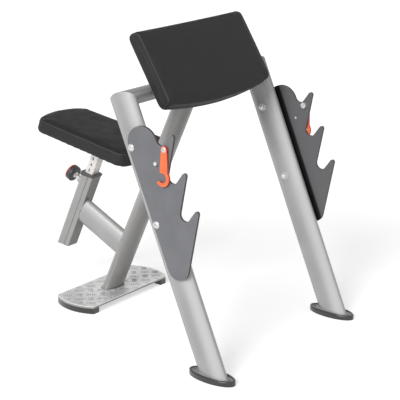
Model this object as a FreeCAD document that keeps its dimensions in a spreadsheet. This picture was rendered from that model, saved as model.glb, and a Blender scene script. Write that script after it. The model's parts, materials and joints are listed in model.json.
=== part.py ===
"""Preacher bench: an oval-tube frame with a sloping arm pad, bar racks and an adjustable seat.

The frame stands on the floor plane, with X to the side, -Y to the front (racks and front feet),
+Y to the rear (seat and user) and Z up. Lengths are in millimetres, angles in degrees.
Left and right are those of the person on the seat, so left is +X.
"""
import FreeCAD, Part
import math
import os
import Sketcher

# Driving dimensions. Angles end in lean, pitch, slope, rise or angle.
SIZES = {
    # oval frame tube
    "tube_depth": 100.0,
    "tube_width": 50.0,
    "tube_wall": 2.5,
    # clearances: welded joint, parts that lie together, parts that turn or slide, round a bolt
    "joint_gap": 0.2,
    "fit_gap": 0.3,
    "running_gap": 0.1,
    "bolt_gap": 0.25,
    "overrun": 5.0,
    "cutter_size": 900.0,
    # main layout
    "leg_spacing": 673.4,
    "leg_lean": 23.36,
    "cross_height": 842.3,
    "boot_to_base": 733.0,
    "mitre_angle": 45.0,
    # front feet
    "boot_length": 176.4,
    "boot_width": 74.2,
    "boot_height": 17.0,
    "boot_rim": 8.0,
    "boot_floor": 8.0,
    "boot_edge": 4.0,
    "foot_plate_thickness": 6.0,
    "floor_bolt_spacing": 138.0,
    "floor_bolt_hole": 5.5,
    "leg_ahead": 5.0,
    # rear base
    "base_straight": 387.8,
    "base_width": 177.8,
    "base_bulge": 25.3,
    "base_corner": 5.0,
    "base_plate_thickness": 6.0,
    "tread_thickness": 3.0,
    "tread_gap": 3.0,
    "rubber_height": 20.0,
    "rubber_length": 28.9,
    "rubber_edge": 3.0,
    "rubber_screw_radius": 3.0,
    "rubber_screw_head": 6.0,
    "rubber_screw_head_height": 3.5,
    "rubber_screw_sink": 9.0,
    "rubber_screw_spacing": 110.0,
    "rubber_screw_inset": 14.0,
    # seat guide, measured up the column and back from its axis
    "brace_height": 211.6,
    "guide_reach": 229.4,
    "guide_width": 50.0,
    "guide_depth": 56.0,
    "guide_wall": 4.0,
    "guide_low": 48.0,
    "guide_high": 366.1,
    "guide_end_pitch": 5.0,
    "guide_front_corner": 4.0,
    "guide_rear_corner": 10.0,
    "guide_bore_corner": 3.0,
    "groove_start": 19.0,
    "groove_step": 2.5,
    "groove_depth": 2.4,
    "groove_run": 19.0,
    "groove_corner": 0.8,
    # bushes in the guide
    "collar_front_height": 7.3,
    "collar_rear_height": 15.0,
    "collar_lip": 2.0,
    "collar_sleeve": 42.0,
    "collar_corner": 6.0,
    "bush_height": 35.0,
    "bush_top": 240.0,
    # seat post
    "post_side": 35.0,
    "post_wall": 2.0,
    "post_corner": 3.0,
    "post_low": 110.0,
    "seat_height": 501.5,
    "post_hole": 5.35,
    "post_hole_pitch": 25.0,
    "post_cap_flange": 3.0,
    "post_cap_plug": 12.0,
    # pull pin
    "pin_height": 310.0,
    "pin_radius": 5.0,
    "pin_travel": 10.0,
    "housing_radius": 14.0,
    "housing_length": 12.0,
    "barrel_radius": 10.0,
    "barrel_length": 24.0,
    "barrel_bore": 7.5,
    "barrel_wall": 2.5,
    "pin_collar_radius": 7.2,
    "pin_collar_length": 2.5,
    "pin_tip": 1.0,
    "spring_wire_radius": 0.5,
    "spring_radius": 6.2,
    "knob_place": 38.0,
    "knob_radius": 29.5,
    "knob_length": 19.0,
    "knob_edge": 4.0,
    "knob_bore": 4.0,
    "knob_hub_radius": 11.0,
    "knob_hub_length": 2.5,
    "knob_thread": 14.0,
    "cap_length": 5.0,
    "cap_inset": 1.0,
    "cap_edge": 2.0,
    # seat
    "seat_pitch": 8.0,
    "seat_ahead": 218.9,
    "seat_length": 465.0,
    "seat_front_half": 134.0,
    "seat_rear_half": 123.0,
    "seat_front_bulge": 5.0,
    "seat_rear_bulge": 35.0,
    "seat_front_corner": 44.0,
    "seat_rear_corner": 46.0,
    "seat_side": 46.0,
    "seat_crown": 4.0,
    "seat_plate_width": 110.0,
    "seat_plate_length": 150.0,
    "seat_plate_thickness": 5.0,
    "seat_screw_across": 80.0,
    "seat_screw_along": 120.0,
    # arm pad
    "pad_slope": 58.2,
    "pad_half": 267.0,
    "pad_length": 259.0,
    "pad_bulge": 25.0,
    "pad_side": 46.0,
    "pad_crown": 7.0,
    "pad_lower_corner": 22.0,
    "pad_upper_corner": 18.0,
    "pad_below_tube": 78.4,
    "crown_run": 62.0,
    "cushion_draw": 2.0,
    # boards under the upholstery
    "board_thickness": 12.0,
    "board_inset": 14.0,
    "plate_corner": 8.0,
    # pad brackets, cut from angle section
    "bracket_half_spacing": 125.0,
    "bracket_width": 50.0,
    "bracket_thickness": 4.0,
    "bracket_length": 146.0,
    "bracket_web": 36.0,
    "bracket_screw_spacing": 112.0,
    # upholstery screws and T-nuts
    "screw_radius": 4.0,
    "screw_head_radius": 7.5,
    "screw_head_height": 4.5,
    "socket_radius": 2.9,
    "socket_depth": 2.4,
    "tee_radius": 5.2,
    "tee_flange_radius": 11.0,
    "tee_flange": 1.5,
    # rack plates: up the leg and ahead of its axis
    "rack_thickness": 8.0,
    "rack_rear": 13.6,
    "rack_bottom": 331.5,
    "rack_bottom_rear_corner": 40.0,
    "rack_bottom_front_corner": 40.0,
    "rack_top": 823.5,
    "rack_top_corner": 59.0,
    "rack_neck_reach": 106.4,
    "tooth_tip_up": 781.7,
    "tooth_tip_reach": 198.9,
    "notch_pitch": 120.6,
    "notch_corner": 20.0,
    "tooth_corner": 8.0,
    "tooth_rise_angle": 36.6,
    "tooth_front_angle": 11.6,
    # rack bolts
    "rack_bolt_high": 767.7,
    "rack_bolt_low": 517.1,
    "rack_bolt_radius": 6.0,
    "rack_bolt_head": 12.0,
    "rack_bolt_head_height": 6.5,
    "rack_socket_radius": 4.6,
    "rack_socket_depth": 3.6,
    "rack_washer_radius": 13.0,
    "washer_thickness": 2.0,
    "sleeve_radius": 8.5,
    "nut_circle": 10.9,
    "nut_height": 8.0,
    "nut_dome_height": 7.0,
    "nut_dome_radius": 8.5,
    # bar hooks, from the pivot
    "pivot_up_leg": 729.5,
    "pivot_reach": 134.0,
    "pivot_radius": 6.0,
    "pivot_head": 9.0,
    "pivot_head_height": 3.5,
    "pivot_nut_circle": 10.9,
    "pivot_nut_height": 8.0,
    "hook_thickness": 7.0,
    "hook_head_radius": 11.5,
    "bowl_drop": 90.0,
    "bowl_back": 8.0,
    "bowl_radius": 27.7,
    "mouth_drop": 90.0,
    "mouth_back": 8.0,
    "mouth_radius": 15.5,
    "hook_lip_back": 17.0,
    "hook_lip_drop": 71.0,
    "hook_lip_corner": 3.0,
    "hook_neck_corner": 9.0,
    "hook_tip_corner": 4.0,
    "hook_spacer": 2.0,
    "hook_spacer_radius": 10.5,
    "hook_head_rear_angle": -5.0,
    "hook_head_front_angle": 182.0,
    "bowl_neck_angle": 140.0,
    "bowl_tip_angle": 324.0,
    "mouth_tip_angle": 316.0,
    "mouth_lip_angle": 75.0,
    # stop pins of the hooks
    "stop_up_leg": 697.7,
    "stop_reach": 82.0,
    "stop_radius": 6.3,
    "stop_root": 4.0,
    "stop_length": 10.5,
    "stop_edge": 1.2,
}

# Share of a cushion's side height at which it is widest, counted from its board
CUSHION_FOOT_SHARE = 0.2

# Sizes worked out in the sheet from those above.
FORMULAS = {
    "leg_half": "leg_spacing / 2",
    "foot_plate_top": "boot_floor + foot_plate_thickness",
    "base_plate_top": "rubber_height + base_plate_thickness",
    "rubber_start": "base_straight / 2 - rubber_length",
    "leg_to_mitre": "cross_height / cos(leg_lean)",
    "column_run": "boot_to_base + leg_ahead - (cross_height - foot_plate_top) * tan(leg_lean)",
    "column_lean": "atan(column_run / (cross_height - base_plate_top)) / 1 deg",
    "column_to_mitre": "cross_height / cos(column_lean)",
    "guide_rear": "guide_reach + guide_depth",
    "guide_cut_angle": "column_lean - guide_end_pitch",
    "guide_rear_low": "guide_low - guide_depth * tan(guide_cut_angle)",
    "post_back": "guide_reach + guide_depth / 2",
    "seat_foot": "seat_side * sin(seat_pitch) * %s" % CUSHION_FOOT_SHARE,
    "seat_rear": "(seat_length - seat_ahead) * cos(seat_pitch) - seat_foot",
    "seat_overhang": "post_back * cos(column_lean) - seat_height * sin(column_lean) + seat_rear",
    "base_rear": "base_plate_top * tan(column_lean) + seat_overhang",
    "boot_place": "(boot_length / 2 - boot_to_base - base_rear) / 2",
    "base_place": "boot_place + boot_to_base",
    "leg_foot": "boot_place - leg_ahead - foot_plate_top * tan(leg_lean)",
    "column_foot": "base_place + base_plate_top * tan(column_lean)",
    "pad_tilt": "90 - pad_slope - leg_lean",
    "tube_reach": "sqrt((tube_depth / 2 * cos(pad_tilt))^2 + (tube_width / 2 * sin(pad_tilt))^2)",
    "pad_ahead": "tube_reach + joint_gap + bracket_thickness + pad_side",
    "rack_inner": "leg_half + tube_width / 2 + fit_gap",
    "rack_outer": "rack_inner + rack_thickness",
    "hook_inner": "rack_outer + hook_spacer + running_gap",
    "hook_outer": "hook_inner + hook_thickness",
    "bore_width": "guide_width - 2 * guide_wall",
    "bore_depth": "guide_depth - 2 * guide_wall",
    "collar_fall": "(collar_rear_height - collar_front_height) / guide_depth",
    "collar_cut_angle": "atan(tan(guide_cut_angle) - collar_fall) / 1 deg",
    "post_tip_gap": "guide_wall + (bore_depth - post_side) / 2",
}

ALONG_X = FreeCAD.Vector(1, 0, 0)
ALONG_Y = FreeCAD.Vector(0, 1, 0)
ALONG_Z = FreeCAD.Vector(0, 0, 1)
SIDES = (("left", 1), ("right", -1))
NOTCHES = 3
HOLES_TO_RISE = 2
HOLES_TO_DROP = 3
SPRING_TURNS = 3
CROWN_SHARE = 0.62
CROWN_BLEND_SHARE = 0.5
LEAST_CORNER_SHARE = 0.6
DOME_BULGE_SHARE = 0.29
NODES = {}

doc = FreeCAD.newDocument("preacher_bench")
sheet = doc.addObject("Spreadsheet::Sheet", "sizes")


def fill_sheet():
    """Write each driving size and each formula in a row of its own, with an alias."""
    row = 0
    for name, value in SIZES.items():
        row += 1
        sheet.set("A%d" % row, name)
        sheet.set("B%d" % row, str(value))
        sheet.setAlias("B%d" % row, name)
    for name, formula in FORMULAS.items():
        row += 1
        sheet.set("A%d" % row, name)
        sheet.set("B%d" % row, "=" + formula)
        sheet.setAlias("B%d" % row, name)
    doc.recompute()


def size(name):
    value = sheet.get(name)
    return float(getattr(value, "Value", value))


def number(expression):
    value = sheet.evalExpression(expression)
    return float(getattr(value, "Value", value))


# Places


def move(x, y, z):
    return FreeCAD.Placement(FreeCAD.Vector(x, y, z), FreeCAD.Rotation())


def turn(axis, angle):
    return FreeCAD.Placement(FreeCAD.Vector(0, 0, 0), FreeCAD.Rotation(axis, angle))


def leg_frame(side):
    """Foot of a leg's axis on the floor: own z up the leg, own y towards the rear."""
    return move(side * size("leg_half"), size("leg_foot"), 0) * turn(ALONG_X, -size("leg_lean"))


def column_frame():
    """Foot of the column's axis on the floor: own z up the column, own y towards the guide."""
    return move(0, size("column_foot"), 0) * turn(ALONG_X, size("column_lean"))


def cross_frame():
    """Middle of the cross tube: own z up the legs, own y towards the rear."""
    return leg_frame(0) * move(0, 0, size("leg_to_mitre"))


def pad_frame():
    """Lower edge of the arm pad: own y up its slope, own z out of the face the arms lie on."""
    middle = cross_frame().Base
    place = FreeCAD.Placement(middle, FreeCAD.Rotation(ALONG_X, size("pad_slope")))
    return place * move(0, -size("pad_below_tube"), size("pad_ahead"))


def seat_frame():
    """Top of the post on the underside of the seat: own y to the rear, own z out of the seat."""
    place = column_frame() * move(0, size("post_back"), size("seat_height"))
    return place * turn(ALONG_X, size("seat_pitch") - size("column_lean"))


def pin_frame():
    """Rear face of the guide at the pull pin: own z back along the pin."""
    place = column_frame() * move(0, size("guide_rear"), size("pin_height"))
    return place * turn(ALONG_X, -90)


def outboard(side, distance, thickness):
    """Where a plate pressed along +X starts, so that its inner face lies at a distance from the middle."""
    if side > 0:
        return distance
    return -distance - thickness


# Outlines: corners are (x, y, corner radius, outward bulge of the side that follows)


def bulge_circle(start, end, bulge):
    """Centre and signed radius of a bulging side, positive where it bulges outwards."""
    run = end - start
    left = FreeCAD.Vector(-run.y, run.x, 0).normalize()
    half = run.Length / 2
    radius = (half * half + bulge * bulge) / (2 * bulge)
    centre = (start + end) * 0.5 + left * (radius - bulge)
    return centre, radius


def reach(side, point):
    """How far a point lies inside a side, and the side's inward direction there."""
    start, end, bulge = side
    run = end - start
    left = FreeCAD.Vector(-run.y, run.x, 0).normalize()
    if bulge == 0:
        return (point - start).dot(left), left
    centre, radius = bulge_circle(start, end, bulge)
    out = point - centre
    sign = math.copysign(1, radius)
    return radius - sign * out.Length, out.normalize() * -sign


def corner_arc(before, after, radius, corner):
    """First, middle and last point of the arc that rounds a corner."""
    inward_1 = reach(before, corner)[1]
    inward_2 = reach(after, corner)[1]
    signed = math.copysign(radius, inward_1.x * inward_2.y - inward_1.y * inward_2.x)
    centre = corner
    for _ in range(25):
        depth_1, inward_1 = reach(before, centre)
        depth_2, inward_2 = reach(after, centre)
        cross = inward_1.x * inward_2.y - inward_1.y * inward_2.x
        lack_1 = signed - depth_1
        lack_2 = signed - depth_2
        step_x = (lack_1 * inward_2.y - lack_2 * inward_1.y) / cross
        step_y = (lack_2 * inward_1.x - lack_1 * inward_2.x) / cross
        centre = centre + FreeCAD.Vector(step_x, step_y, 0)
    middle = centre - (inward_1 + inward_2).normalize() * signed
    return centre - inward_1 * signed, middle, centre - inward_2 * signed


def bulge_middle(start, end, circle):
    """Middle point of the arc from start to end on a side's circle."""
    centre, radius = circle
    first = math.atan2(start.y - centre.y, start.x - centre.x)
    last = math.atan2(end.y - centre.y, end.x - centre.x)
    sign = math.copysign(1, radius)
    sweep = sign * ((sign * (last - first)) % (2 * math.pi))
    angle = first + sweep / 2
    return centre + FreeCAD.Vector(math.cos(angle), math.sin(angle), 0) * abs(radius)


def outline_edges(corners):
    """Lines and arcs of a closed outline, given counter-clockwise."""
    points = [FreeCAD.Vector(x, y, 0) for x, y, radius, bulge in corners]
    count = len(points)
    sides = [(points[i], points[(i + 1) % count], corners[i][3]) for i in range(count)]
    arcs = []
    for i in range(count):
        if corners[i][2] == 0:
            arcs.append((points[i], None, points[i]))
        else:
            arcs.append(corner_arc(sides[i - 1], sides[i], corners[i][2], points[i]))
    edges = []
    for i in range(count):
        first, middle, last = arcs[i]
        if middle is not None:
            edges.append(Part.Arc(first, middle, last))
        following = arcs[(i + 1) % count][0]
        if sides[i][2] == 0:
            edges.append(Part.LineSegment(last, following))
        else:
            circle = bulge_circle(*sides[i])
            edges.append(Part.Arc(last, bulge_middle(last, following, circle), following))
    return edges


def rectangle(width, height, radius):
    """Corners of a rounded rectangle about the origin."""
    x = width / 2
    y = height / 2
    return [(-x, -y, radius, 0), (x, -y, radius, 0), (x, y, radius, 0), (-x, y, radius, 0)]


def crossing(point_1, angle_1, point_2, angle_2):
    """Where two lines meet, each given by a point and its angle to the first axis."""
    x_1, y_1 = point_1
    x_2, y_2 = point_2
    cos_1, sin_1 = math.cos(math.radians(angle_1)), math.sin(math.radians(angle_1))
    cos_2, sin_2 = math.cos(math.radians(angle_2)), math.sin(math.radians(angle_2))
    along = ((x_2 - x_1) * sin_2 - (y_2 - y_1) * cos_2) / (cos_1 * sin_2 - sin_1 * cos_2)
    return x_1 + along * cos_1, y_1 + along * sin_1


# Features


def new_body(name):
    return doc.addObject("PartDesign::Body", name + "_body")


def new_sketch(body, role):
    sketch = body.newObject("Sketcher::SketchObject", body.Name + "_sketch")
    plane = [one for one in body.Origin.OriginFeatures if one.Role == role][0]
    sketch.AttachmentSupport = [(plane, "")]
    sketch.MapMode = "FlatFace"
    return sketch


def constrain(sketch, kind, *where, expression):
    """A dimension of a sketch, bound to the sheet."""
    index = sketch.addConstraint(Sketcher.Constraint(kind, *where, number(expression)))
    sketch.setExpression("Constraints[%d]" % index, expression)


def draw_circle(sketch, radius):
    circle = Part.Circle(FreeCAD.Vector(0, 0, 0), ALONG_Z, number(radius))
    index = sketch.addGeometry(circle, False)
    sketch.addConstraint(Sketcher.Constraint("Coincident", index, 3, -1, 1))
    constrain(sketch, "Radius", index, expression=radius)


def draw_oval(sketch, length, width):
    """An ellipse about the origin, its long axis along the sketch's second axis."""
    long_end = FreeCAD.Vector(0, number(length) / 2, 0)
    short_end = FreeCAD.Vector(number(width) / 2, 0, 0)
    index = sketch.addGeometry(Part.Ellipse(long_end, short_end, FreeCAD.Vector(0, 0, 0)), False)
    sketch.exposeInternalGeometry(index)
    sketch.addConstraint(Sketcher.Constraint("Coincident", index, 3, -1, 1))
    sketch.addConstraint(Sketcher.Constraint("Vertical", index + 1))
    constrain(sketch, "Distance", index + 1, expression=length)
    constrain(sketch, "Distance", index + 2, expression=width)


def draw_outline(sketch, corners):
    """A closed outline whose neighbouring ends are tied together."""
    indices = [sketch.addGeometry(edge, False) for edge in outline_edges(corners)]
    for before, after in zip(indices, indices[1:] + indices[:1]):
        pairs = [(i, j) for i in (1, 2) for j in (1, 2)]
        gaps = [(sketch.getPoint(before, i) - sketch.getPoint(after, j)).Length for i, j in pairs]
        i, j = pairs[gaps.index(min(gaps))]
        sketch.addConstraint(Sketcher.Constraint("Coincident", before, i, after, j))


def add_pad(body, sketch, length):
    pad = body.newObject("PartDesign::Pad", body.Name + "_pad")
    pad.Profile = sketch
    pad.setExpression("Length", length)
    return pad


def plate(name, outlines, thickness, placement, role="XY_Plane"):
    """A flat piece: an outline, with any holes as more outlines, pressed out to its thickness."""
    body = new_body(name)
    sketch = new_sketch(body, role)
    for corners in outlines:
        draw_outline(sketch, corners)
    add_pad(body, sketch, thickness)
    body.Placement = placement
    return body


def oval_piece(name, ovals, length, placement):
    """A tube or bar of oval section along its own z, its long axis along its own y."""
    body = new_body(name)
    sketch = new_sketch(body, "XY_Plane")
    for long_axis, short_axis in ovals:
        draw_oval(sketch, long_axis, short_axis)
    add_pad(body, sketch, length)
    body.Placement = placement
    return body


def frame_tube(name, length, placement):
    outer = ("sizes.tube_depth", "sizes.tube_width")
    inner = ("sizes.tube_depth - 2 * sizes.tube_wall", "sizes.tube_width - 2 * sizes.tube_wall")
    return oval_piece(name, (outer, inner), length, placement)


def tube_cutter(name, gap, length, placement):
    """A solid bar that copes a piece to the outside of a frame tube, with a gap all round."""
    grown = "sizes.tube_%s + 2 * " + gap
    return oval_piece(name, ((grown % "depth", grown % "width"),), length, placement)


def turned(name, corners, placement):
    """A turned piece: corners give radius and height, and it turns about its own z."""
    body = new_body(name)
    sketch = new_sketch(body, "XZ_Plane")
    draw_outline(sketch, corners)
    made = body.newObject("PartDesign::Revolution", body.Name + "_turn")
    made.Profile = sketch
    made.ReferenceAxis = (sketch, ["V_Axis"])
    made.Angle = 360
    body.Placement = placement
    return body


def cylinder(name, radius, height, placement):
    made = doc.addObject("Part::Cylinder", name)
    made.setExpression("Radius", radius)
    made.setExpression("Height", height)
    made.Placement = placement
    return made


def half_space(name, placement, above):
    """A large block with one face on a plane, to cut away all that is above or below it."""
    made = doc.addObject("Part::Box", name)
    for side in ("Length", "Width", "Height"):
        made.setExpression(side, "sizes.cutter_size")
    half = size("cutter_size") / 2
    made.Placement = placement * move(-half, -half, 0 if above else -2 * half)
    return made


def cut(base, *tools):
    for tool in tools:
        made = doc.addObject("Part::Cut", base.Name + "_cut")
        made.Base = base
        made.Tool = tool
        base = made
    return base


def join(name, pieces):
    made = doc.addObject("Part::MultiFuse", name + "_joined")
    made.Shapes = pieces
    return made


def group(name, pieces):
    """Separate solids that share one node."""
    made = doc.addObject("Part::Compound", name + "_group")
    made.Links = pieces
    return made


def round_edges(base, radius, wanted):
    """Round the edges of a piece that a test on the edge picks."""
    doc.recompute()
    chosen = [i + 1 for i, edge in enumerate(base.Shape.Edges) if wanted(edge)]
    made = doc.addObject("Part::Fillet", base.Name + "_round")
    made.Base = base
    made.Edges = [(i, radius, radius) for i in chosen]
    return made


def node(name, made):
    """Give a finished sub-part the name of its node."""
    made.Label = name
    NODES[name] = made
    return made


# Fasteners, with their own z out of the head


def head_screw(name, radius, length, head, head_height, socket, socket_depth, placement):
    """A button-head screw: the head stands on z = 0 and the shank runs down from it."""
    crown = head_height * CROWN_SHARE
    corners = [
        (0, -length, 0, 0),
        (radius, -length, 0, 0),
        (radius, 0, 0, 0),
        (head, 0, 0, 0),
        (head, head_height - crown, 0, 0),
        (head - crown, head_height, crown * CROWN_BLEND_SHARE, 0),
        (0, head_height, 0, 0),
    ]
    blank = turned(name, corners, placement)
    hexagon = doc.addObject("Part::Prism", name + "_socket")
    hexagon.Polygon = 6
    hexagon.Circumradius = socket
    hexagon.Height = socket_depth + size("overrun")
    hexagon.Placement = placement * move(0, 0, head_height - socket_depth)
    return cut(blank, hexagon)


def ring(name, outer, inner, height, placement):
    """A washer, sleeve or bush: two circles pressed out."""
    body = new_body(name)
    sketch = new_sketch(body, "XY_Plane")
    draw_circle(sketch, outer)
    draw_circle(sketch, inner)
    add_pad(body, sketch, height)
    body.Placement = placement
    return body


def hex_nut(name, circle, height, bore, placement):
    hexagon = doc.addObject("Part::Prism", name + "_hexagon")
    hexagon.Polygon = 6
    hexagon.setExpression("Circumradius", circle)
    hexagon.setExpression("Height", height)
    hexagon.Placement = placement
    through = height + " + 2 * sizes.overrun"
    hole = cylinder(name + "_bore", bore, through, placement * move(0, 0, -size("overrun")))
    return cut(hexagon, hole)


def tee_nut(name, grip, placement):
    """A T-nut in a board: its flange lies in the board's far face, its barrel reaches back."""
    bore = size("screw_radius") + size("running_gap")
    far = -grip - size("board_thickness")
    near = far + size("tee_flange")
    top = -grip - size("fit_gap")
    corners = [
        (bore, far, 0, 0),
        (size("tee_flange_radius"), far, 0, 0),
        (size("tee_flange_radius"), near, 0, 0),
        (size("tee_radius"), near, 0, 0),
        (size("tee_radius"), top, 0, 0),
        (bore, top, 0, 0),
    ]
    return turned(name, corners, placement)


def board_screw(name, grip, placement):
    """A screw through a steel plate of a given grip into a T-nut."""
    return head_screw(
        name,
        size("screw_radius"),
        grip + size("board_thickness") - size("tee_flange"),
        size("screw_head_radius"),
        size("screw_head_height"),
        size("socket_radius"),
        size("socket_depth"),
        placement,
    )


def board_cutters(name, grip, placement):
    """The holes that a T-nut takes in its board."""
    far = -grip - size("board_thickness") - size("overrun")
    hole = cylinder(
        name + "_hole",
        "sizes.tee_radius + sizes.bolt_gap",
        "sizes.board_thickness + 2 * sizes.overrun",
        placement * move(0, 0, far),
    )
    sink = cylinder(
        name + "_sink",
        "sizes.tee_flange_radius + sizes.bolt_gap",
        "sizes.tee_flange + sizes.overrun",
        placement * move(0, 0, far),
    )
    return [hole, sink]


def plate_cutter(name, radius, thickness, placement):
    """A clearance hole down through a plate whose top lies on z = 0."""
    hole = "sizes.%s + sizes.bolt_gap" % radius
    height = "sizes.%s + 2 * sizes.overrun" % thickness
    return cylinder(name, hole, height, placement * move(0, 0, -size(thickness) - size("overrun")))


# Frame


def make_cross_cutter(name):
    """The outside of the cross tube, with the gap of a welded joint."""
    start = cross_frame() * turn(ALONG_Y, 90) * move(0, 0, -size("leg_half"))
    return tube_cutter(name, "sizes.joint_gap", "sizes.leg_spacing", start)


def make_legs():
    low = size("tube_depth") / 2 * math.tan(math.radians(size("leg_lean"))) + size("overrun")
    for word, side in SIDES:
        frame = leg_frame(side)
        blank = frame_tube(
            word + "_leg",
            "sizes.leg_to_mitre + sizes.tube_depth + sizes.tube_width",
            frame * move(0, 0, -low),
        )
        corner = frame * move(0, 0, size("leg_to_mitre")) * turn(ALONG_Y, -size("mitre_angle") * side)
        mitre = half_space(word + "_mitre", corner * move(0, 0, -size("joint_gap") / 2), True)
        foot = move(side * size("leg_half"), size("leg_foot"), size("foot_plate_top"))
        floor = half_space(word + "_leg_foot", foot, False)
        holes = []
        for place in ("rack_bolt_high", "rack_bolt_low"):
            across = frame * move(0, 0, size(place)) * turn(ALONG_Y, 90)
            holes.append(
                cylinder(
                    word + "_leg_hole",
                    "sizes.rack_bolt_radius + sizes.bolt_gap",
                    "2 * sizes.tube_width",
                    across * move(0, 0, -size("tube_width")),
                )
            )
        node(word + "_leg_tube", cut(blank, mitre, floor, *holes))


def make_cross_tube():
    start = cross_frame() * turn(ALONG_Y, 90) * move(0, 0, -size("leg_half") - size("tube_width"))
    blank = frame_tube("cross", "sizes.leg_spacing + 2 * sizes.tube_width", start)
    tools = []
    for word, side in SIDES:
        corner = leg_frame(side) * move(0, 0, size("leg_to_mitre"))
        corner = corner * turn(ALONG_Y, -size("mitre_angle") * side)
        tools.append(half_space(word + "_cross_mitre", corner * move(0, 0, size("joint_gap") / 2), False))
    node("cross_tube", cut(blank, *tools))


def make_column():
    blank = frame_tube("column", "sizes.column_to_mitre", column_frame() * turn(ALONG_Z, -90))
    foot = move(0, size("column_foot"), size("base_plate_top"))
    floor = half_space("column_foot", foot, False)
    node("column_tube", cut(blank, floor, make_cross_cutter("column_cope")))


def make_brace():
    start = column_frame() * move(0, 0, size("brace_height")) * turn(ALONG_X, -90)
    blank = frame_tube("brace", "sizes.guide_reach", start)
    column = column_frame() * turn(ALONG_Z, -90)
    cope = tube_cutter("brace_cope", "sizes.joint_gap", "sizes.column_to_mitre", column)
    node("brace_tube", cut(blank, cope))


def make_front_feet():
    for word, side in SIDES:
        foot = move(side * size("leg_half"), size("boot_place"), 0)
        floor_top = size("boot_floor")
        outer = (("sizes.boot_length", "sizes.boot_width"),)
        blank = oval_piece(word + "_boot", outer, "sizes.boot_height", foot)
        inner = (("sizes.boot_length - 2 * sizes.boot_rim", "sizes.boot_width - 2 * sizes.boot_rim"),)
        well = oval_piece(word + "_well", inner, "sizes.boot_height", foot * move(0, 0, floor_top))
        gap = "2 * (sizes.boot_rim + sizes.fit_gap)"
        plate_oval = (("sizes.boot_length - " + gap, "sizes.boot_width - " + gap),)
        steel = oval_piece(
            word + "_foot_plate", plate_oval, "sizes.foot_plate_thickness", foot * move(0, 0, floor_top)
        )
        holes = []
        for end in (-1, 1):
            place = foot * move(0, end * size("floor_bolt_spacing") / 2, -size("overrun"))
            height = "sizes.boot_height + 2 * sizes.overrun"
            holes.append(cylinder(word + "_floor_hole", "sizes.floor_bolt_hole", height, place))
        rubber = cut(blank, well, *holes)

        def outer_rim(edge):
            box = edge.BoundBox
            return box.ZMin > size("boot_floor") and box.YLength > size("boot_length") - size("boot_rim")

        node(word + "_boot", round_edges(rubber, size("boot_edge"), outer_rim))
        node(word + "_foot_plate", cut(steel, *holes))


# Rear base


def base_outline():
    x = size("base_straight") / 2
    y = size("base_width") / 2
    corner = size("base_corner")
    bulge = size("base_bulge")
    return [(-x, -y, corner, 0), (x, -y, corner, bulge), (x, y, corner, 0), (-x, y, corner, bulge)]


def rubber_outline():
    x = size("base_straight") / 2
    y = size("base_width") / 2
    start = size("rubber_start")
    corner = size("base_corner")
    edge = size("rubber_edge")
    return [(start, -y, edge, 0), (x, -y, corner, size("base_bulge")), (x, y, corner, 0), (start, y, edge, 0)]


def rubber_screw_places():
    """Heads of the base rubbers' screws: own z down, out of the head."""
    x = size("base_straight") / 2 - size("rubber_screw_inset")
    y = size("rubber_screw_spacing") / 2
    places = []
    for across in (-x, x):
        for along in (-y, y):
            place = move(across, size("base_place") + along, size("rubber_screw_sink"))
            places.append(place * turn(ALONG_X, 180))
    return places


def make_base():
    middle = move(0, size("base_place"), 0)
    steel = plate(
        "base_plate",
        [base_outline()],
        "sizes.base_plate_thickness",
        middle * move(0, 0, size("rubber_height")),
    )
    places = rubber_screw_places()
    holes = []
    sinks = []
    for place in places:
        holes.append(
            cylinder(
                "rubber_screw_hole",
                "sizes.rubber_screw_radius + sizes.bolt_gap",
                "sizes.rubber_height + sizes.base_plate_thickness + 2 * sizes.overrun",
                place * move(0, 0, -size("base_plate_top") - size("overrun")),
            )
        )
        sinks.append(
            cylinder(
                "rubber_screw_sink",
                "sizes.rubber_screw_head + sizes.bolt_gap",
                "sizes.rubber_height",
                place,
            )
        )
    node("base_plate", cut(steel, *holes))
    tread = plate(
        "tread_plate", [base_outline()], "sizes.tread_thickness", middle * move(0, 0, size("base_plate_top"))
    )
    opening = tube_cutter(
        "tread_opening", "sizes.tread_gap", "sizes.column_to_mitre", column_frame() * turn(ALONG_Z, -90)
    )
    node("tread_plate", cut(tread, opening))
    for word, side in SIDES:
        place = middle if side > 0 else middle * turn(ALONG_Z, 180)
        rubber = plate(word + "_base_rubber", [rubber_outline()], "sizes.rubber_height", place)
        node(word + "_base_rubber", cut(rubber, *holes, *sinks))
    screws = []
    length = size("base_plate_top") - size("rubber_screw_sink") - size("fit_gap")
    for place in places:
        screws.append(
            head_screw(
                "rubber_screw",
                size("rubber_screw_radius"),
                length,
                size("rubber_screw_head"),
                size("rubber_screw_head_height"),
                size("rubber_screw_radius") / 2,
                size("rubber_screw_head_height") / 2,
                place,
            )
        )
    node("base_rubber_screws", group("base_rubber_screws", screws))


# Seat guide with its bushes


def guide_outline():
    x = size("guide_width") / 2
    depth = size("guide_depth")
    first = size("groove_start")
    second = first + size("groove_step")
    third = second + size("groove_run")
    inner = x - size("groove_depth")
    small = size("groove_corner")
    front = size("guide_front_corner")
    rear = size("guide_rear_corner")
    right = [
        (x, 0, front, 0),
        (x, first, small, 0),
        (inner, second, small, 0),
        (x, third, rear, 0),
        (x, depth, rear, 0),
    ]
    left = [(-across, along, corner, bulge) for across, along, corner, bulge in reversed(right)]
    return right + left


def shifted(corners, x, y):
    return [(across + x, along + y, corner, bulge) for across, along, corner, bulge in corners]


def bore_outline(gap):
    """The guide's bore, drawn in by a gap all round, about the middle of the guide."""
    width = size("bore_width") - 2 * gap
    depth = size("bore_depth") - 2 * gap
    return rectangle(width, depth, size("guide_bore_corner"))


def post_outline(gap):
    """The outside of the seat post, grown by a gap all round."""
    side = size("post_side") + 2 * gap
    return rectangle(side, side, size("post_corner") + gap)


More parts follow.
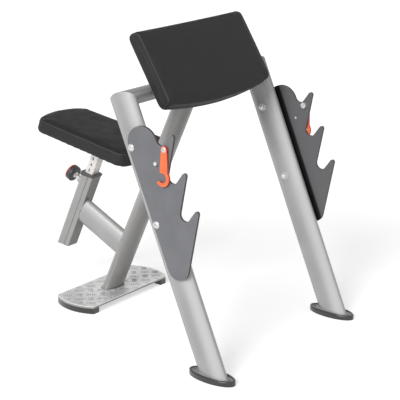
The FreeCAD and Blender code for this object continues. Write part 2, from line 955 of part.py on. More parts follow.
def slant(height, angle):
    """A plane that falls to the rear from the guide's front edge, at a height up the column."""
    return column_frame() * move(0, size("guide_reach"), height) * turn(ALONG_X, -size(angle))


def make_guide():
    low = size("guide_rear_low") - size("overrun")
    frame = column_frame() * move(0, size("guide_reach"), low)
    bore = shifted(bore_outline(0), 0, size("guide_depth") / 2)
    length = "sizes.guide_high - sizes.guide_rear_low + 2 * sizes.overrun"
    blank = plate("guide", [guide_outline(), bore], length, frame)
    lower = half_space("guide_bottom", slant(size("guide_low"), "guide_cut_angle"), False)
    upper = half_space("guide_top", slant(size("guide_high"), "guide_cut_angle"), True)
    inward = pin_frame() * move(0, 0, -size("guide_wall") - size("overrun"))
    hole = cylinder(
        "guide_pin_hole",
        "sizes.pin_radius + sizes.bolt_gap",
        "sizes.guide_wall + 2 * sizes.overrun",
        inward,
    )
    node("guide_tube", cut(blank, lower, upper, hole))


def make_bushes():
    frame = column_frame() * move(0, size("post_back"), 0)
    inner = post_outline(size("fit_gap"))
    bush = plate(
        "lower_bush",
        [bore_outline(size("running_gap")), inner],
        "sizes.bush_height",
        frame * move(0, 0, size("bush_top") - size("bush_height")),
    )
    node("guide_lower_bush", bush)
    height = "sizes.collar_front_height + sizes.collar_sleeve + sizes.overrun"
    low = size("guide_high") - size("collar_sleeve")
    sleeve = plate(
        "collar_sleeve", [bore_outline(size("running_gap")), inner], height, frame * move(0, 0, low)
    )
    lip = 2 * size("collar_lip")
    rim = rectangle(size("guide_width") + lip, size("guide_depth") + lip, size("collar_corner"))
    flange = plate("collar_flange", [rim, inner], height, frame * move(0, 0, low))
    below = half_space("collar_seat", slant(size("guide_high"), "guide_cut_angle"), False)
    top = size("guide_high") + size("collar_front_height")
    above = half_space("collar_top", slant(top, "collar_cut_angle"), True)
    node("guide_collar", cut(join("guide_collar", [sleeve, cut(flange, below)]), above))


# Seat post


def make_post():
    frame = column_frame() * move(0, size("post_back"), 0)
    side = size("post_side") - 2 * size("post_wall")
    inner = rectangle(side, side, size("post_corner") / 2)
    blank = plate(
        "post",
        [post_outline(0), inner],
        "sizes.seat_height - sizes.post_low + sizes.post_side",
        frame * move(0, 0, size("post_low")),
    )
    top = half_space("post_top", seat_frame() * move(0, 0, -size("seat_plate_thickness")), True)
    holes = []
    for step in range(-HOLES_TO_RISE, HOLES_TO_DROP + 1):
        height = size("pin_height") + step * size("post_hole_pitch")
        place = frame * move(0, 0, height) * turn(ALONG_X, -90)
        holes.append(cylinder("post_hole", "sizes.post_hole", "sizes.post_side", place))
    node("seat_post", cut(blank, top, *holes))
    flange = plate(
        "post_cap_flange",
        [post_outline(0)],
        "sizes.post_cap_flange",
        frame * move(0, 0, size("post_low") - size("post_cap_flange")),
    )
    plug_side = side - 2 * size("running_gap")
    plug_outline = rectangle(plug_side, plug_side, size("post_corner") / 2)
    plug = plate(
        "post_cap_plug",
        [plug_outline],
        "sizes.post_cap_plug + sizes.post_cap_flange",
        frame * move(0, 0, size("post_low") - size("post_cap_flange")),
    )
    node("seat_post_end_cap", join("seat_post_end_cap", [flange, plug]))


# Pull pin


def make_pin():
    frame = pin_frame()
    hole = size("pin_radius") + size("running_gap")
    node(
        "pin_housing",
        ring(
            "pin_housing",
            "sizes.housing_radius",
            "sizes.barrel_radius + sizes.running_gap",
            "sizes.housing_length",
            frame,
        ),
    )
    length = size("barrel_length")
    wall = size("barrel_wall")
    bore = size("barrel_bore")
    outer = size("barrel_radius")
    barrel = [
        (hole, 0, 0, 0),
        (outer, 0, 0, 0),
        (outer, length, 0, 0),
        (hole, length, 0, 0),
        (hole, length - wall, 0, 0),
        (bore, length - wall, 0, 0),
        (bore, wall, 0, 0),
        (hole, wall, 0, 0),
    ]
    node("pin_barrel", turned("pin_barrel", barrel, frame))

    radius = size("pin_radius")
    tip = size("fit_gap") - size("post_tip_gap")
    cone = size("pin_tip")
    collar_low = wall + size("fit_gap") + size("pin_travel")
    collar_high = collar_low + size("pin_collar_length")
    knob = size("knob_place")
    hub = knob - size("knob_hub_length")
    thread = size("knob_bore")
    plunger = [
        (0, tip, 0, 0),
        (radius - cone, tip, 0, 0),
        (radius, tip + cone, 0, 0),
        (radius, collar_low, 0, 0),
        (size("pin_collar_radius"), collar_low, 0, 0),
        (size("pin_collar_radius"), collar_high, 0, 0),
        (radius, collar_high, 0, 0),
        (radius, hub, 0, 0),
        (size("knob_hub_radius"), hub, 0, 0),
        (size("knob_hub_radius"), knob, 0, 0),
        (thread, knob, 0, 0),
        (thread, knob + size("knob_thread"), 0, 0),
        (0, knob + size("knob_thread"), 0, 0),
    ]
    node("pull_pin_plunger", turned("pull_pin_plunger", plunger, frame))

    end = size("running_gap") + size("spring_wire_radius")
    coil = new_body("pin_spring")
    wire = new_sketch(coil, "XZ_Plane")
    place = FreeCAD.Vector(size("spring_radius"), collar_high + end, 0)
    wire.addGeometry(Part.Circle(place, ALONG_Z, size("spring_wire_radius")), False)
    helix = coil.newObject("PartDesign::AdditiveHelix", "pin_spring_coil")
    helix.Profile = wire
    helix.ReferenceAxis = (wire, ["V_Axis"])
    helix.Mode = "height-turns-angle"
    helix.Height = length - wall - collar_high - 2 * end
    helix.Turns = SPRING_TURNS
    coil.Placement = frame
    node("pin_spring", coil)

    bored = thread + size("running_gap")
    far = knob + size("knob_length")
    deep = knob + size("knob_thread") + size("running_gap")
    edge = size("knob_edge")
    grip = [
        (bored, knob, 0, 0),
        (size("knob_radius"), knob, edge, 0),
        (size("knob_radius"), far, size("running_gap"), 0),
        (0, far, 0, 0),
        (0, deep, 0, 0),
        (bored, deep, 0, 0),
    ]
    node("pull_pin_knob", turned("pull_pin_knob", grip, frame))
    disc = size("knob_radius") - size("cap_inset")
    cap = [
        (0, far, 0, 0),
        (disc, far, 0, 0),
        (disc, far + size("cap_length"), size("cap_edge"), 0),
        (0, far + size("cap_length"), 0, 0),
    ]
    node("pull_pin_knob_cap", turned("pull_pin_knob_cap", cap, frame))


# Upholstery


def pad_corners(low_half, high_half, low, high, bulges, corners, inset, draw):
    """A four-sided pad outline drawn in all round, its straight sides hollow by a small draw."""
    radii = [max(one - inset, one * LEAST_CORNER_SHARE) for one in corners]
    return [
        (inset - low_half, low + inset, radii[0], bulges[0]),
        (low_half - inset, low + inset, radii[0], -draw),
        (high_half - inset, high - inset, radii[1], bulges[1]),
        (inset - high_half, high - inset, radii[1], -draw),
    ]


def seat_corners(inset, draw):
    return pad_corners(
        size("seat_front_half"),
        size("seat_rear_half"),
        size("seat_front_bulge") - size("seat_ahead"),
        size("seat_length") - size("seat_ahead") - size("seat_rear_bulge"),
        (size("seat_front_bulge"), size("seat_rear_bulge")),
        (size("seat_front_corner"), size("seat_rear_corner")),
        inset,
        draw,
    )


def arm_corners(inset, draw):
    half = size("pad_half")
    return pad_corners(
        half,
        half,
        0,
        size("pad_length"),
        (size("pad_bulge"), -draw),
        (size("pad_lower_corner"), size("pad_upper_corner")),
        inset,
        draw,
    )


# Levels of a cushion: share of its side height, share of its crown, share of the crown's run
CUSHION_SHARES = (
    (0.0, 0.0, 0.06),
    (CUSHION_FOOT_SHARE, 0.0, 0.0),
    (0.5, 0.0, 0.0),
    (0.85, 0.0, 0.01),
    (1.0, 0.0, 0.06),
    (1.0, 0.3, 0.15),
    (1.0, 0.6, 0.34),
    (1.0, 0.85, 0.62),
    (1.0, 1.0, 1.0),
)


def cushion(name, corners_at, side, crown, placement):
    """A crowned cushion, lofted through its drawn-in outlines from the board side up."""
    body = new_body(name)
    sketches = []
    for side_share, crown_share, inset_share in CUSHION_SHARES:
        sketch = new_sketch(body, "XY_Plane")
        height = side * side_share + crown * crown_share
        sketch.AttachmentOffset = move(0, 0, height)
        draw_outline(sketch, corners_at(size("crown_run") * inset_share, size("cushion_draw")))
        sketches.append(sketch)
    loft = body.newObject("PartDesign::AdditiveLoft", name + "_loft")
    loft.Profile = sketches[0]
    loft.Sections = sketches[1:]
    loft.Ruled = True
    body.Placement = placement
    return body


def upholster(word, corners_at, side, crown, frame, grip, across, along):
    """Board, cushion, screws and T-nuts of a pad whose board lies on its frame's plane."""
    places = []
    for x in (-across, across):
        for y in along:
            places.append(frame * move(x, y, -grip) * turn(ALONG_X, 180))
    board = plate(word + "_board", [corners_at(size("board_inset"), 0)], "sizes.board_thickness", frame)
    cutters = []
    screws = []
    nuts = []
    for place in places:
        cutters.extend(board_cutters(word, grip, place))
        screws.append(board_screw(word + "_screw", grip, place))
        nuts.append(tee_nut(word + "_tee_nut", grip, place))
    node(word + "_board", cut(board, *cutters))
    whole = cushion(word + "_cushion", corners_at, side, crown, frame)
    pocket = plate(
        word + "_pocket",
        [corners_at(size("board_inset") - size("fit_gap"), 0)],
        "sizes.board_thickness + sizes.fit_gap + sizes.overrun",
        frame * move(0, 0, -size("overrun")),
    )
    node(word + "_cushion", cut(whole, pocket))
    node(word + "_screws", group(word + "_screws", screws))
    node(word + "_tee_nuts", group(word + "_tee_nuts", nuts))
    return places


def make_seat():
    frame = seat_frame()
    across = size("seat_screw_across") / 2
    along = (-size("seat_screw_along") / 2, size("seat_screw_along") / 2)
    grip = size("seat_plate_thickness")
    places = upholster(
        "seat", seat_corners, size("seat_side"), size("seat_crown"), frame, grip, across, along
    )
    steel = plate(
        "seat_plate",
        [rectangle(size("seat_plate_width"), size("seat_plate_length"), size("plate_corner"))],
        "sizes.seat_plate_thickness",
        frame * move(0, 0, -grip),
    )
    holes = [plate_cutter("seat_hole", "screw_radius", "seat_plate_thickness", place) for place in places]
    node("seat_plate", cut(steel, *holes))


def make_arm_pad():
    frame = pad_frame() * move(0, 0, -size("pad_side"))
    grip = size("bracket_thickness")
    across = size("bracket_half_spacing") + (size("bracket_width") + grip) / 2
    spacing = size("bracket_screw_spacing") / 2
    middle = size("pad_below_tube")
    along = (middle - spacing, middle + spacing)
    places = upholster(
        "arm_pad", arm_corners, size("pad_side"), size("pad_crown"), frame, grip, across, along
    )
    holes = [plate_cutter("bracket_hole", "screw_radius", "bracket_thickness", place) for place in places]
    half = size("bracket_length") / 2
    depth = size("bracket_web")
    web_corners = [
        (middle - half + depth, -depth - grip, 0, 0),
        (middle + half - depth, -depth - grip, 0, 0),
        (middle + half, -grip, 0, 0),
        (middle - half, -grip, 0, 0),
    ]
    for word, side in SIDES:
        centre = side * (size("bracket_half_spacing") + size("bracket_width") / 2)
        flange = plate(
            word + "_bracket_flange",
            [rectangle(size("bracket_width"), size("bracket_length"), 0)],
            "sizes.bracket_thickness",
            frame * move(centre, middle, -grip),
        )
        start = outboard(side, size("bracket_half_spacing"), grip)
        web = plate(
            word + "_bracket_web",
            [web_corners],
            "sizes.bracket_thickness",
            frame * move(start, 0, 0),
            role="YZ_Plane",
        )
        angle = join(word + "_pad_bracket", [flange, web])
        node(word + "_pad_bracket", cut(angle, make_cross_cutter(word + "_bracket_cope"), *holes))


# Racks


def rack_corners():
    """Rack plate outline beside the leg: own y to the rear of the leg's axis, own z up the leg."""
    rise = size("leg_lean") + size("tooth_rise_angle")
    front = size("leg_lean") + size("tooth_front_angle")
    bottom = size("rack_bottom")
    top = size("rack_top")
    neck = size("rack_neck_reach")
    tip = (size("tooth_tip_up"), size("tooth_tip_reach"))
    places = [
        (bottom, -size("rack_rear"), size("rack_bottom_rear_corner")),
        (top, -size("rack_rear"), size("rack_top_corner")),
        (top, neck, size("rack_top_corner")),
        (*crossing((top, neck), 0, tip, rise), size("notch_corner")),
    ]
    for count in range(NOTCHES):
        tip = (size("tooth_tip_up") - count * size("notch_pitch"), size("tooth_tip_reach"))
        below = (tip[0] - size("notch_pitch"), tip[1])
        places.append((*tip, size("tooth_corner")))
        if count + 1 < NOTCHES:
            places.append((*crossing(tip, front, below, rise), size("notch_corner")))
        else:
            places.append((*crossing(tip, front, (bottom, 0), 90), size("rack_bottom_front_corner")))
    return [(-out, up, corner, 0) for up, out, corner in places]


def polar(centre, radius, angle):
    angle = math.radians(angle)
    return centre[0] + radius * math.cos(angle), centre[1] + radius * math.sin(angle)


def arc_bulge(radius, sweep):
    return radius * (1 - math.cos(math.radians(sweep) / 2))


def hook_corners():
    """Bar hook outline from its pivot: own y to the rear, own z up."""
    pivot = (0, 0)
    bowl = (size("bowl_back"), -size("bowl_drop"))
    mouth = (size("mouth_back"), -size("mouth_drop"))
    head_sweep = size("hook_head_front_angle") - size("hook_head_rear_angle")
    bowl_sweep = size("bowl_tip_angle") - size("bowl_neck_angle")
    mouth_sweep = size("mouth_tip_angle") - size("mouth_lip_angle")
    head = size("hook_head_radius")
    tip = size("hook_tip_corner")
    lip = size("hook_lip_corner")
    head_rear = polar(pivot, head, size("hook_head_rear_angle"))
    head_front = polar(pivot, head, size("hook_head_front_angle"))
    neck = polar(bowl, size("bowl_radius"), size("bowl_neck_angle"))
    outer_tip = polar(bowl, size("bowl_radius"), size("bowl_tip_angle"))
    inner_tip = polar(mouth, size("mouth_radius"), size("mouth_tip_angle"))
    roof = polar(mouth, size("mouth_radius"), size("mouth_lip_angle"))
    return [
        (size("hook_lip_back"), -size("hook_lip_drop"), lip, 0),
        (*head_rear, 0, arc_bulge(head, head_sweep)),
        (*head_front, 0, 0),
        (*neck, size("hook_neck_corner"), arc_bulge(size("bowl_radius"), bowl_sweep)),
        (*outer_tip, tip, 0),
        (*inner_tip, tip, -arc_bulge(size("mouth_radius"), mouth_sweep)),
        (*roof, 0, 0),
    ]


def on_rack(side, distance, up, ahead, outward=True):
    """A place on a rack plate at a distance from the middle; own z points outboard or inboard."""
    frame = leg_frame(side) * move(side * (distance - size("leg_half")), -ahead, up)
    return frame * turn(ALONG_Y, 90 * side if outward else -90 * side)


def make_racks():
    overrun = size("overrun")
    for word, side in SIDES:
        start = outboard(side, size("rack_inner"), size("rack_thickness"))
        place = move(start, size("leg_foot"), 0) * turn(ALONG_X, -size("leg_lean"))
        blank = plate(word + "_rack", [rack_corners()], "sizes.rack_thickness", place, role="YZ_Plane")
        spots = [
            ("rack_bolt_radius", "sizes.bolt_gap", size("rack_bolt_high"), 0),
            ("rack_bolt_radius", "sizes.bolt_gap", size("rack_bolt_low"), 0),
            ("pivot_radius", "sizes.bolt_gap", size("pivot_up_leg"), size("pivot_reach")),
            ("stop_root", "sizes.running_gap", size("stop_up_leg"), size("stop_reach")),
        ]
        holes = []
        for radius, gap, up, ahead in spots:
            holes.append(
                cylinder(
                    word + "_rack_hole",
                    "sizes.%s + %s" % (radius, gap),
                    "sizes.rack_thickness + 2 * sizes.overrun",
                    on_rack(side, size("rack_inner") - overrun, up, ahead),
                )
            )
        node(word + "_rack_plate", cut(blank, *holes))


def dome_nut(name, placement):
    height = size("nut_height")
    bore = "sizes.rack_bolt_radius + sizes.running_gap"
    body = hex_nut(name, "sizes.nut_circle", "sizes.nut_height", bore, placement)
    radius = size("nut_dome_radius")
    corners = [
        (0, height, 0, 0),
        (radius, height, 0, radius * DOME_BULGE_SHARE),
        (0, height + size("nut_dome_height"), 0, 0),
    ]
    return join(name, [body, turned(name + "_dome", corners, placement)])


def make_rack_bolts():
    inner_face = size("leg_half") - size("tube_width") / 2
    grip = size("rack_outer") - inner_face + size("washer_thickness")
    bolts = []
    washers = []
    sleeves = []
    nuts = []
    half_sleeve = size("tube_width") / 2 - size("tube_wall") - size("bolt_gap") * 2
    for word, side in SIDES:
        for place in ("rack_bolt_high", "rack_bolt_low"):
            up = size(place)
            bolts.append(
                head_screw(
                    word + "_rack_bolt",
                    size("rack_bolt_radius"),
                    grip + size("nut_height") - size("fit_gap"),
                    size("rack_bolt_head"),
                    size("rack_bolt_head_height"),
                    size("rack_socket_radius"),
                    size("rack_socket_depth"),
                    on_rack(side, size("rack_outer"), up, 0),
                )
            )
            hole = "sizes.rack_bolt_radius + sizes.bolt_gap"
            inside = on_rack(side, inner_face, up, 0, outward=False)
            thickness = "sizes.washer_thickness"
            washers.append(ring(word + "_rack_washer", "sizes.rack_washer_radius", hole, thickness, inside))
            nuts.append(dome_nut(word + "_rack_nut", inside * move(0, 0, size("washer_thickness"))))
            start = on_rack(side, size("leg_half") - half_sleeve, up, 0)
            length = "sizes.tube_width - 2 * sizes.tube_wall - 4 * sizes.bolt_gap"
            sleeves.append(ring(word + "_rack_sleeve", "sizes.sleeve_radius", hole, length, start))
    node("rack_bolts", group("rack_bolts", bolts))
    node("rack_bolt_washers", group("rack_bolt_washers", washers))
    node("rack_bolt_sleeves", group("rack_bolt_sleeves", sleeves))
    node("rack_dome_nuts", group("rack_dome_nuts", nuts))


def make_hooks():
    bolts = []
    spacers = []
    nuts = []
    pins = []
    for word, side in SIDES:
        up = size("pivot_up_leg")
        ahead = size("pivot_reach")
        pivot = on_rack(side, size("hook_inner"), up, ahead).Base
        start = outboard(side, size("hook_inner"), size("hook_thickness"))
        place = move(start, pivot.y, pivot.z)
        blank = plate(word + "_hook", [hook_corners()], "sizes.hook_thickness", place, role="YZ_Plane")
        bore = cylinder(
            word + "_hook_bore",
            "sizes.pivot_radius + sizes.running_gap",
            "sizes.hook_thickness + 2 * sizes.overrun",
            on_rack(side, size("hook_inner") - size("overrun"), up, ahead),
        )
        node(word + "_hook", cut(blank, bore))
        head = size("hook_outer") + size("running_gap")
        length = head - size("rack_inner") + size("pivot_nut_height")
        bolts.append(
            head_screw(
                word + "_pivot_bolt",
                size("pivot_radius"),
                length,
                size("pivot_head"),
                size("pivot_head_height"),
                size("rack_socket_radius"),
                size("pivot_head_height") / 2,
                on_rack(side, head, up, ahead),
            )
        )
        hole = "sizes.pivot_radius + sizes.bolt_gap"
        outside = on_rack(side, size("rack_outer"), up, ahead)
        spacers.append(
            ring(word + "_spacer", "sizes.hook_spacer_radius", hole, "sizes.hook_spacer", outside)
        )
        inside = on_rack(side, size("rack_inner"), up, ahead, outward=False)
        nuts.append(
            hex_nut(
                word + "_pivot_nut",
                "sizes.pivot_nut_circle",
                "sizes.pivot_nut_height",
                "sizes.pivot_radius + sizes.running_gap",
                inside,
            )
        )
        pin = [
            (0, -size("rack_thickness"), 0, 0),
            (size("stop_root"), -size("rack_thickness"), 0, 0),
            (size("stop_root"), 0, 0, 0),
            (size("stop_radius"), 0, 0, 0),
            (size("stop_radius"), size("stop_length"), size("stop_edge"), 0),
            (0, size("stop_length"), 0, 0),
        ]
        stop = on_rack(side, size("rack_outer"), size("stop_up_leg"), size("stop_reach"))
        pins.append(turned(word + "_stop_pin", pin, stop))
    node("hook_pivot_bolts", group("hook_pivot_bolts", bolts))
    node("hook_spacers", group("hook_spacers", spacers))
    node("hook_pivot_nuts", group("hook_pivot_nuts", nuts))
    node("hook_stop_pins", group("hook_stop_pins", pins))


def check_and_write():
    """Stop on any failed object, then write each sub-part to its own file."""
    doc.recompute()
    for made in doc.Objects:
        if "Invalid" in made.State or "Error" in made.State:
            raise RuntimeError("failed: %s (%s)" % (made.Label, made.State))
    os.makedirs("parts", exist_ok=True)
    for name, made in NODES.items():
        shape = made.Shape
        if made.Label != name:
            raise RuntimeError("label taken: " + name)
        if shape.isNull() or not shape.isValid() or not shape.Solids:
            raise RuntimeError("no valid solid: " + name)
        shape.exportStep("parts/%s.step" % name)
        print("%-22s %d solids %10.0f mm3" % (name, len(shape.Solids), shape.Volume))
    whole = Part.makeCompound([made.Shape for made in NODES.values()]).BoundBox
    print("box", whole)


fill_sheet()
make_legs()
make_cross_tube()
make_column()
make_brace()
make_front_feet()
make_base()
make_guide()
make_bushes()
make_post()
make_pin()
make_seat()
make_arm_pad()
make_racks()
make_rack_bolts()
make_hooks()
check_and_write()
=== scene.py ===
"""Preacher bench: finishes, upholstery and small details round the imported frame, in metres."""
import json
import math
import bmesh
import bpy
from mathutils import Matrix, Vector
from mathutils.bvhtree import BVHTree


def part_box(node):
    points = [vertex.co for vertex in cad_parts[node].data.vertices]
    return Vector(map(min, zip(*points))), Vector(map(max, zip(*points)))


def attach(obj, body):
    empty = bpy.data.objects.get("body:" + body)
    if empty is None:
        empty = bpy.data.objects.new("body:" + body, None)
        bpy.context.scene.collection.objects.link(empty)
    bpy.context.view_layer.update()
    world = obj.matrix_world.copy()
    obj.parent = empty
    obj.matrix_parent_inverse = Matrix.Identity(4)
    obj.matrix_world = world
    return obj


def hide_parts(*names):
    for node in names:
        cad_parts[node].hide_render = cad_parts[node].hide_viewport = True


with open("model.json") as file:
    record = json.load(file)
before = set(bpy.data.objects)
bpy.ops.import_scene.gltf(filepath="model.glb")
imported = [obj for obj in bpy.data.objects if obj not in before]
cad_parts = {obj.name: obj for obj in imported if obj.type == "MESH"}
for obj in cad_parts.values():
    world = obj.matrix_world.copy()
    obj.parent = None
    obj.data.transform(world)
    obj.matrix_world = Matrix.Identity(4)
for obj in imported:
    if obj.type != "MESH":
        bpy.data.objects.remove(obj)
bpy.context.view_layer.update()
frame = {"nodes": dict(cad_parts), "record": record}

scene = bpy.context.scene
nodes = frame["nodes"]
MM = 0.001

# Places that the frame was built on: millimetres and degrees
BOOT_Y = sum(corner.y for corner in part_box("left_boot")) / 2 / MM
LEG_HALF, LEG_LEAN, LEG_FOOT_Y = 336.7, 23.36, BOOT_Y - 11.05
BASE_Y = BOOT_Y + 733.0
COLUMN_FOOT_Y, COLUMN_LEAN = BASE_Y + 12.11, 24.977
TUBE_DEPTH, TUBE_WIDTH = 100.0, 50.0
POST_BACK, POST_HALF = 257.4, 17.5
ARM_ORIGIN, ARM_SLOPE = (0, BOOT_Y + 265.74, 804.02), 58.2
SEAT_ORIGIN, SEAT_PITCH = (0, BOOT_Y + 766.68, 563.29), 8.0


def own_frame(origin, pitch):
    """A place whose own y and z are turned about X, in metres."""
    return Matrix.Translation(Vector(origin) * MM) @ Matrix.Rotation(math.radians(pitch), 4, "X")


arm_place = own_frame(ARM_ORIGIN, ARM_SLOPE)
seat_place = own_frame(SEAT_ORIGIN, SEAT_PITCH)
column_place = own_frame((0, COLUMN_FOOT_Y, 0), COLUMN_LEAN)


# Node groups: colours, masks and normals that more than one finish uses


def new_group(name, inputs, outputs):
    group = bpy.data.node_groups.new(name, "ShaderNodeTree")
    for label, kind, value in inputs:
        socket = group.interface.new_socket(label, in_out="INPUT", socket_type=kind)
        socket.default_value = value
    for label, kind in outputs:
        group.interface.new_socket(label, in_out="OUTPUT", socket_type=kind)
    start = group.nodes.new("NodeGroupInput")
    end = group.nodes.new("NodeGroupOutput")
    return group, start, end


def add(tree, kind, **settings):
    """A node with its settings, such as an operation or use_clamp."""
    made = tree.nodes.new(kind)
    for key, value in settings.items():
        setattr(made, key, value)
    return made


def wire(tree, source, output, target, inlet):
    tree.links.new(source.outputs[output], target.inputs[inlet])


def noise(tree, scale, detail=2.0, roughness=0.5):
    made = add(tree, "ShaderNodeTexNoise")
    made.inputs["Scale"].default_value = scale
    made.inputs["Detail"].default_value = detail
    made.inputs["Roughness"].default_value = roughness
    return made


def ramp(tree, low, high):
    """A smooth step from 0 at low to 1 at high."""
    made = tree.nodes.new("ShaderNodeMapRange")
    made.interpolation_type = "SMOOTHSTEP"
    made.inputs["From Min"].default_value = low
    made.inputs["From Max"].default_value = high
    return made


def mixer(tree):
    made = tree.nodes.new("ShaderNodeMix")
    made.data_type = "RGBA"
    return made


def facing_parts(tree):
    """The x, y and z of the way a face looks."""
    parts = tree.nodes.new("ShaderNodeSeparateXYZ")
    wire(tree, tree.nodes.new("ShaderNodeNewGeometry"), "Normal", parts, "Vector")
    return parts.outputs


def make_mottle():
    """Two colours and two roughnesses that blend over a soft cloud pattern."""
    group, start, end = new_group(
        "soft mottle",
        [
            ("Scale", "NodeSocketFloat", 20.0),
            ("Colour A", "NodeSocketColor", (0.5, 0.5, 0.5, 1)),
            ("Colour B", "NodeSocketColor", (0.4, 0.4, 0.4, 1)),
            ("Roughness A", "NodeSocketFloat", 0.4),
            ("Roughness B", "NodeSocketFloat", 0.5),
        ],
        [("Colour", "NodeSocketColor"), ("Roughness", "NodeSocketFloat")],
    )
    where = group.nodes.new("ShaderNodeTexCoord")
    cloud = noise(group, 20.0, 4.0, 0.55)
    wire(group, where, "Object", cloud, "Vector")
    wire(group, start, "Scale", cloud, "Scale")
    step = ramp(group, 0.32, 0.68)
    wire(group, cloud, "Fac", step, "Value")
    blend = mixer(group)
    wire(group, step, "Result", blend, "Factor")
    group.links.new(start.outputs["Colour A"], blend.inputs[6])
    group.links.new(start.outputs["Colour B"], blend.inputs[7])
    group.links.new(blend.outputs[2], end.inputs["Colour"])
    rough = group.nodes.new("ShaderNodeMapRange")
    wire(group, step, "Result", rough, "Value")
    wire(group, start, "Roughness A", rough, "To Min")
    wire(group, start, "Roughness B", rough, "To Max")
    wire(group, rough, "Result", end, "Roughness")
    return group


def make_orange_peel():
    """The fine uneven surface of sprayed or moulded finishes."""
    group, start, end = new_group(
        "orange peel",
        [("Scale", "NodeSocketFloat", 500.0), ("Height", "NodeSocketFloat", 0.05)],
        [("Normal", "NodeSocketVector")],
    )
    where = group.nodes.new("ShaderNodeTexCoord")
    grain = noise(group, 500.0, 3.0, 0.6)
    wire(group, where, "Object", grain, "Vector")
    wire(group, start, "Scale", grain, "Scale")
    bump = group.nodes.new("ShaderNodeBump")
    bump.inputs["Distance"].default_value = 0.0004
    wire(group, start, "Height", bump, "Strength")
    wire(group, grain, "Fac", bump, "Height")
    wire(group, bump, "Normal", end, "Normal")
    return group


def make_edge_mask():
    """Grows towards 1 at sharp edges within a radius, and is 0 on flat faces."""
    group, start, end = new_group(
        "edge mask",
        [("Spread", "NodeSocketFloat", 6.0)],
        [("Mask", "NodeSocketFloat")],
    )
    soft = group.nodes.new("ShaderNodeBevel")
    soft.samples = 4
    soft.inputs["Radius"].default_value = 0.0012
    true = group.nodes.new("ShaderNodeNewGeometry")
    along = add(group, "ShaderNodeVectorMath", operation="DOT_PRODUCT")
    wire(group, soft, "Normal", along, 0)
    wire(group, true, "Normal", along, 1)
    away = add(group, "ShaderNodeMath", operation="SUBTRACT")
    away.inputs[0].default_value = 1.0
    group.links.new(along.outputs["Value"], away.inputs[1])
    grown = add(group, "ShaderNodeMath", operation="MULTIPLY", use_clamp=True)
    group.links.new(away.outputs[0], grown.inputs[0])
    wire(group, start, "Spread", grown, 1)
    group.links.new(grown.outputs[0], end.inputs["Mask"])
    return group


def make_leather_grain():
    """The pebbled grain and soft creases of upholstery vinyl."""
    group, start, end = new_group(
        "vinyl grain",
        [
            ("Cell", "NodeSocketFloat", 700.0),
            ("Height", "NodeSocketFloat", 0.3),
            ("Crease", "NodeSocketFloat", 0.2),
        ],
        [("Normal", "NodeSocketVector")],
    )
    where = group.nodes.new("ShaderNodeTexCoord")
    cells = group.nodes.new("ShaderNodeTexVoronoi")
    cells.feature = "SMOOTH_F1"
    wire(group, where, "Object", cells, "Vector")
    wire(group, start, "Cell", cells, "Scale")
    pebble = group.nodes.new("ShaderNodeBump")
    pebble.inputs["Distance"].default_value = 0.0003
    wire(group, start, "Height", pebble, "Strength")
    wire(group, cells, "Distance", pebble, "Height")
    folds = noise(group, 14.0, 3.0, 0.55)
    wire(group, where, "Object", folds, "Vector")
    crease = group.nodes.new("ShaderNodeBump")
    crease.inputs["Distance"].default_value = 0.006
    wire(group, start, "Crease", crease, "Strength")
    wire(group, folds, "Fac", crease, "Height")
    wire(group, pebble, "Normal", crease, "Normal")
    wire(group, crease, "Normal", end, "Normal")
    return group


def make_dust():
    """A mask of dust that settles on what faces up."""
    group, start, end = new_group(
        "settled dust",
        [("Amount", "NodeSocketFloat", 0.3)],
        [("Mask", "NodeSocketFloat")],
    )
    where = group.nodes.new("ShaderNodeTexCoord")
    patches = noise(group, 60.0, 5.0, 0.65)
    wire(group, where, "Object", patches, "Vector")
    up = ramp(group, 0.2, 1.0)
    group.links.new(facing_parts(group)["Z"], up.inputs["Value"])
    cover = add(group, "ShaderNodeMath", operation="MULTIPLY")
    group.links.new(up.outputs["Result"], cover.inputs[0])
    group.links.new(patches.outputs["Fac"], cover.inputs[1])
    amount = add(group, "ShaderNodeMath", operation="MULTIPLY", use_clamp=True)
    group.links.new(cover.outputs[0], amount.inputs[0])
    wire(group, start, "Amount", amount, 1)
    group.links.new(amount.outputs[0], end.inputs["Mask"])
    return group


mottle = make_mottle()
orange_peel = make_orange_peel()
edge_mask = make_edge_mask()
vinyl_grain = make_leather_grain()
settled_dust = make_dust()


# Finishes


def new_finish(name, metallic=0.0, specular=0.5, coat=0.0, coat_roughness=0.1):
    made = bpy.data.materials.new(name)
    made.use_nodes = True
    shader = made.node_tree.nodes["Principled BSDF"]
    shader.inputs["Metallic"].default_value = metallic
    shader.inputs["Specular IOR Level"].default_value = specular
    shader.inputs["Coat Weight"].default_value = coat
    shader.inputs["Coat Roughness"].default_value = coat_roughness
    return made, made.node_tree, shader


def place_group(tree, group, **values):
    made = tree.nodes.new("ShaderNodeGroup")
    made.node_tree = group
    for key, value in values.items():
        made.inputs[key.replace("_", " ")].default_value = value
    return made


def grey(value, warm=0.0):
    return (value * (1 + warm), value, value * (1 - warm), 1)


def mottled(tree, shader, scale, colours, roughness):
    cloud = place_group(
        tree,
        mottle,
        Scale=scale,
        Colour_A=colours[0],
        Colour_B=colours[1],
        Roughness_A=roughness[0],
        Roughness_B=roughness[1],
    )
    wire(tree, cloud, "Colour", shader, "Base Color")
    wire(tree, cloud, "Roughness", shader, "Roughness")
    return cloud


def layered(tree, shader, under, mask, colour, strength=1.0):
    """Lays one more colour over what feeds the shader, where a mask says."""
    blend = mixer(tree)
    tree.links.new(under, blend.inputs[6])
    blend.inputs[7].default_value = colour
    scaled = add(tree, "ShaderNodeMath", operation="MULTIPLY", use_clamp=True)
    tree.links.new(mask, scaled.inputs[0])
    scaled.inputs[1].default_value = strength
    tree.links.new(scaled.outputs[0], blend.inputs[0])
    tree.links.new(blend.outputs[2], shader.inputs["Base Color"])
    return blend.outputs[2]


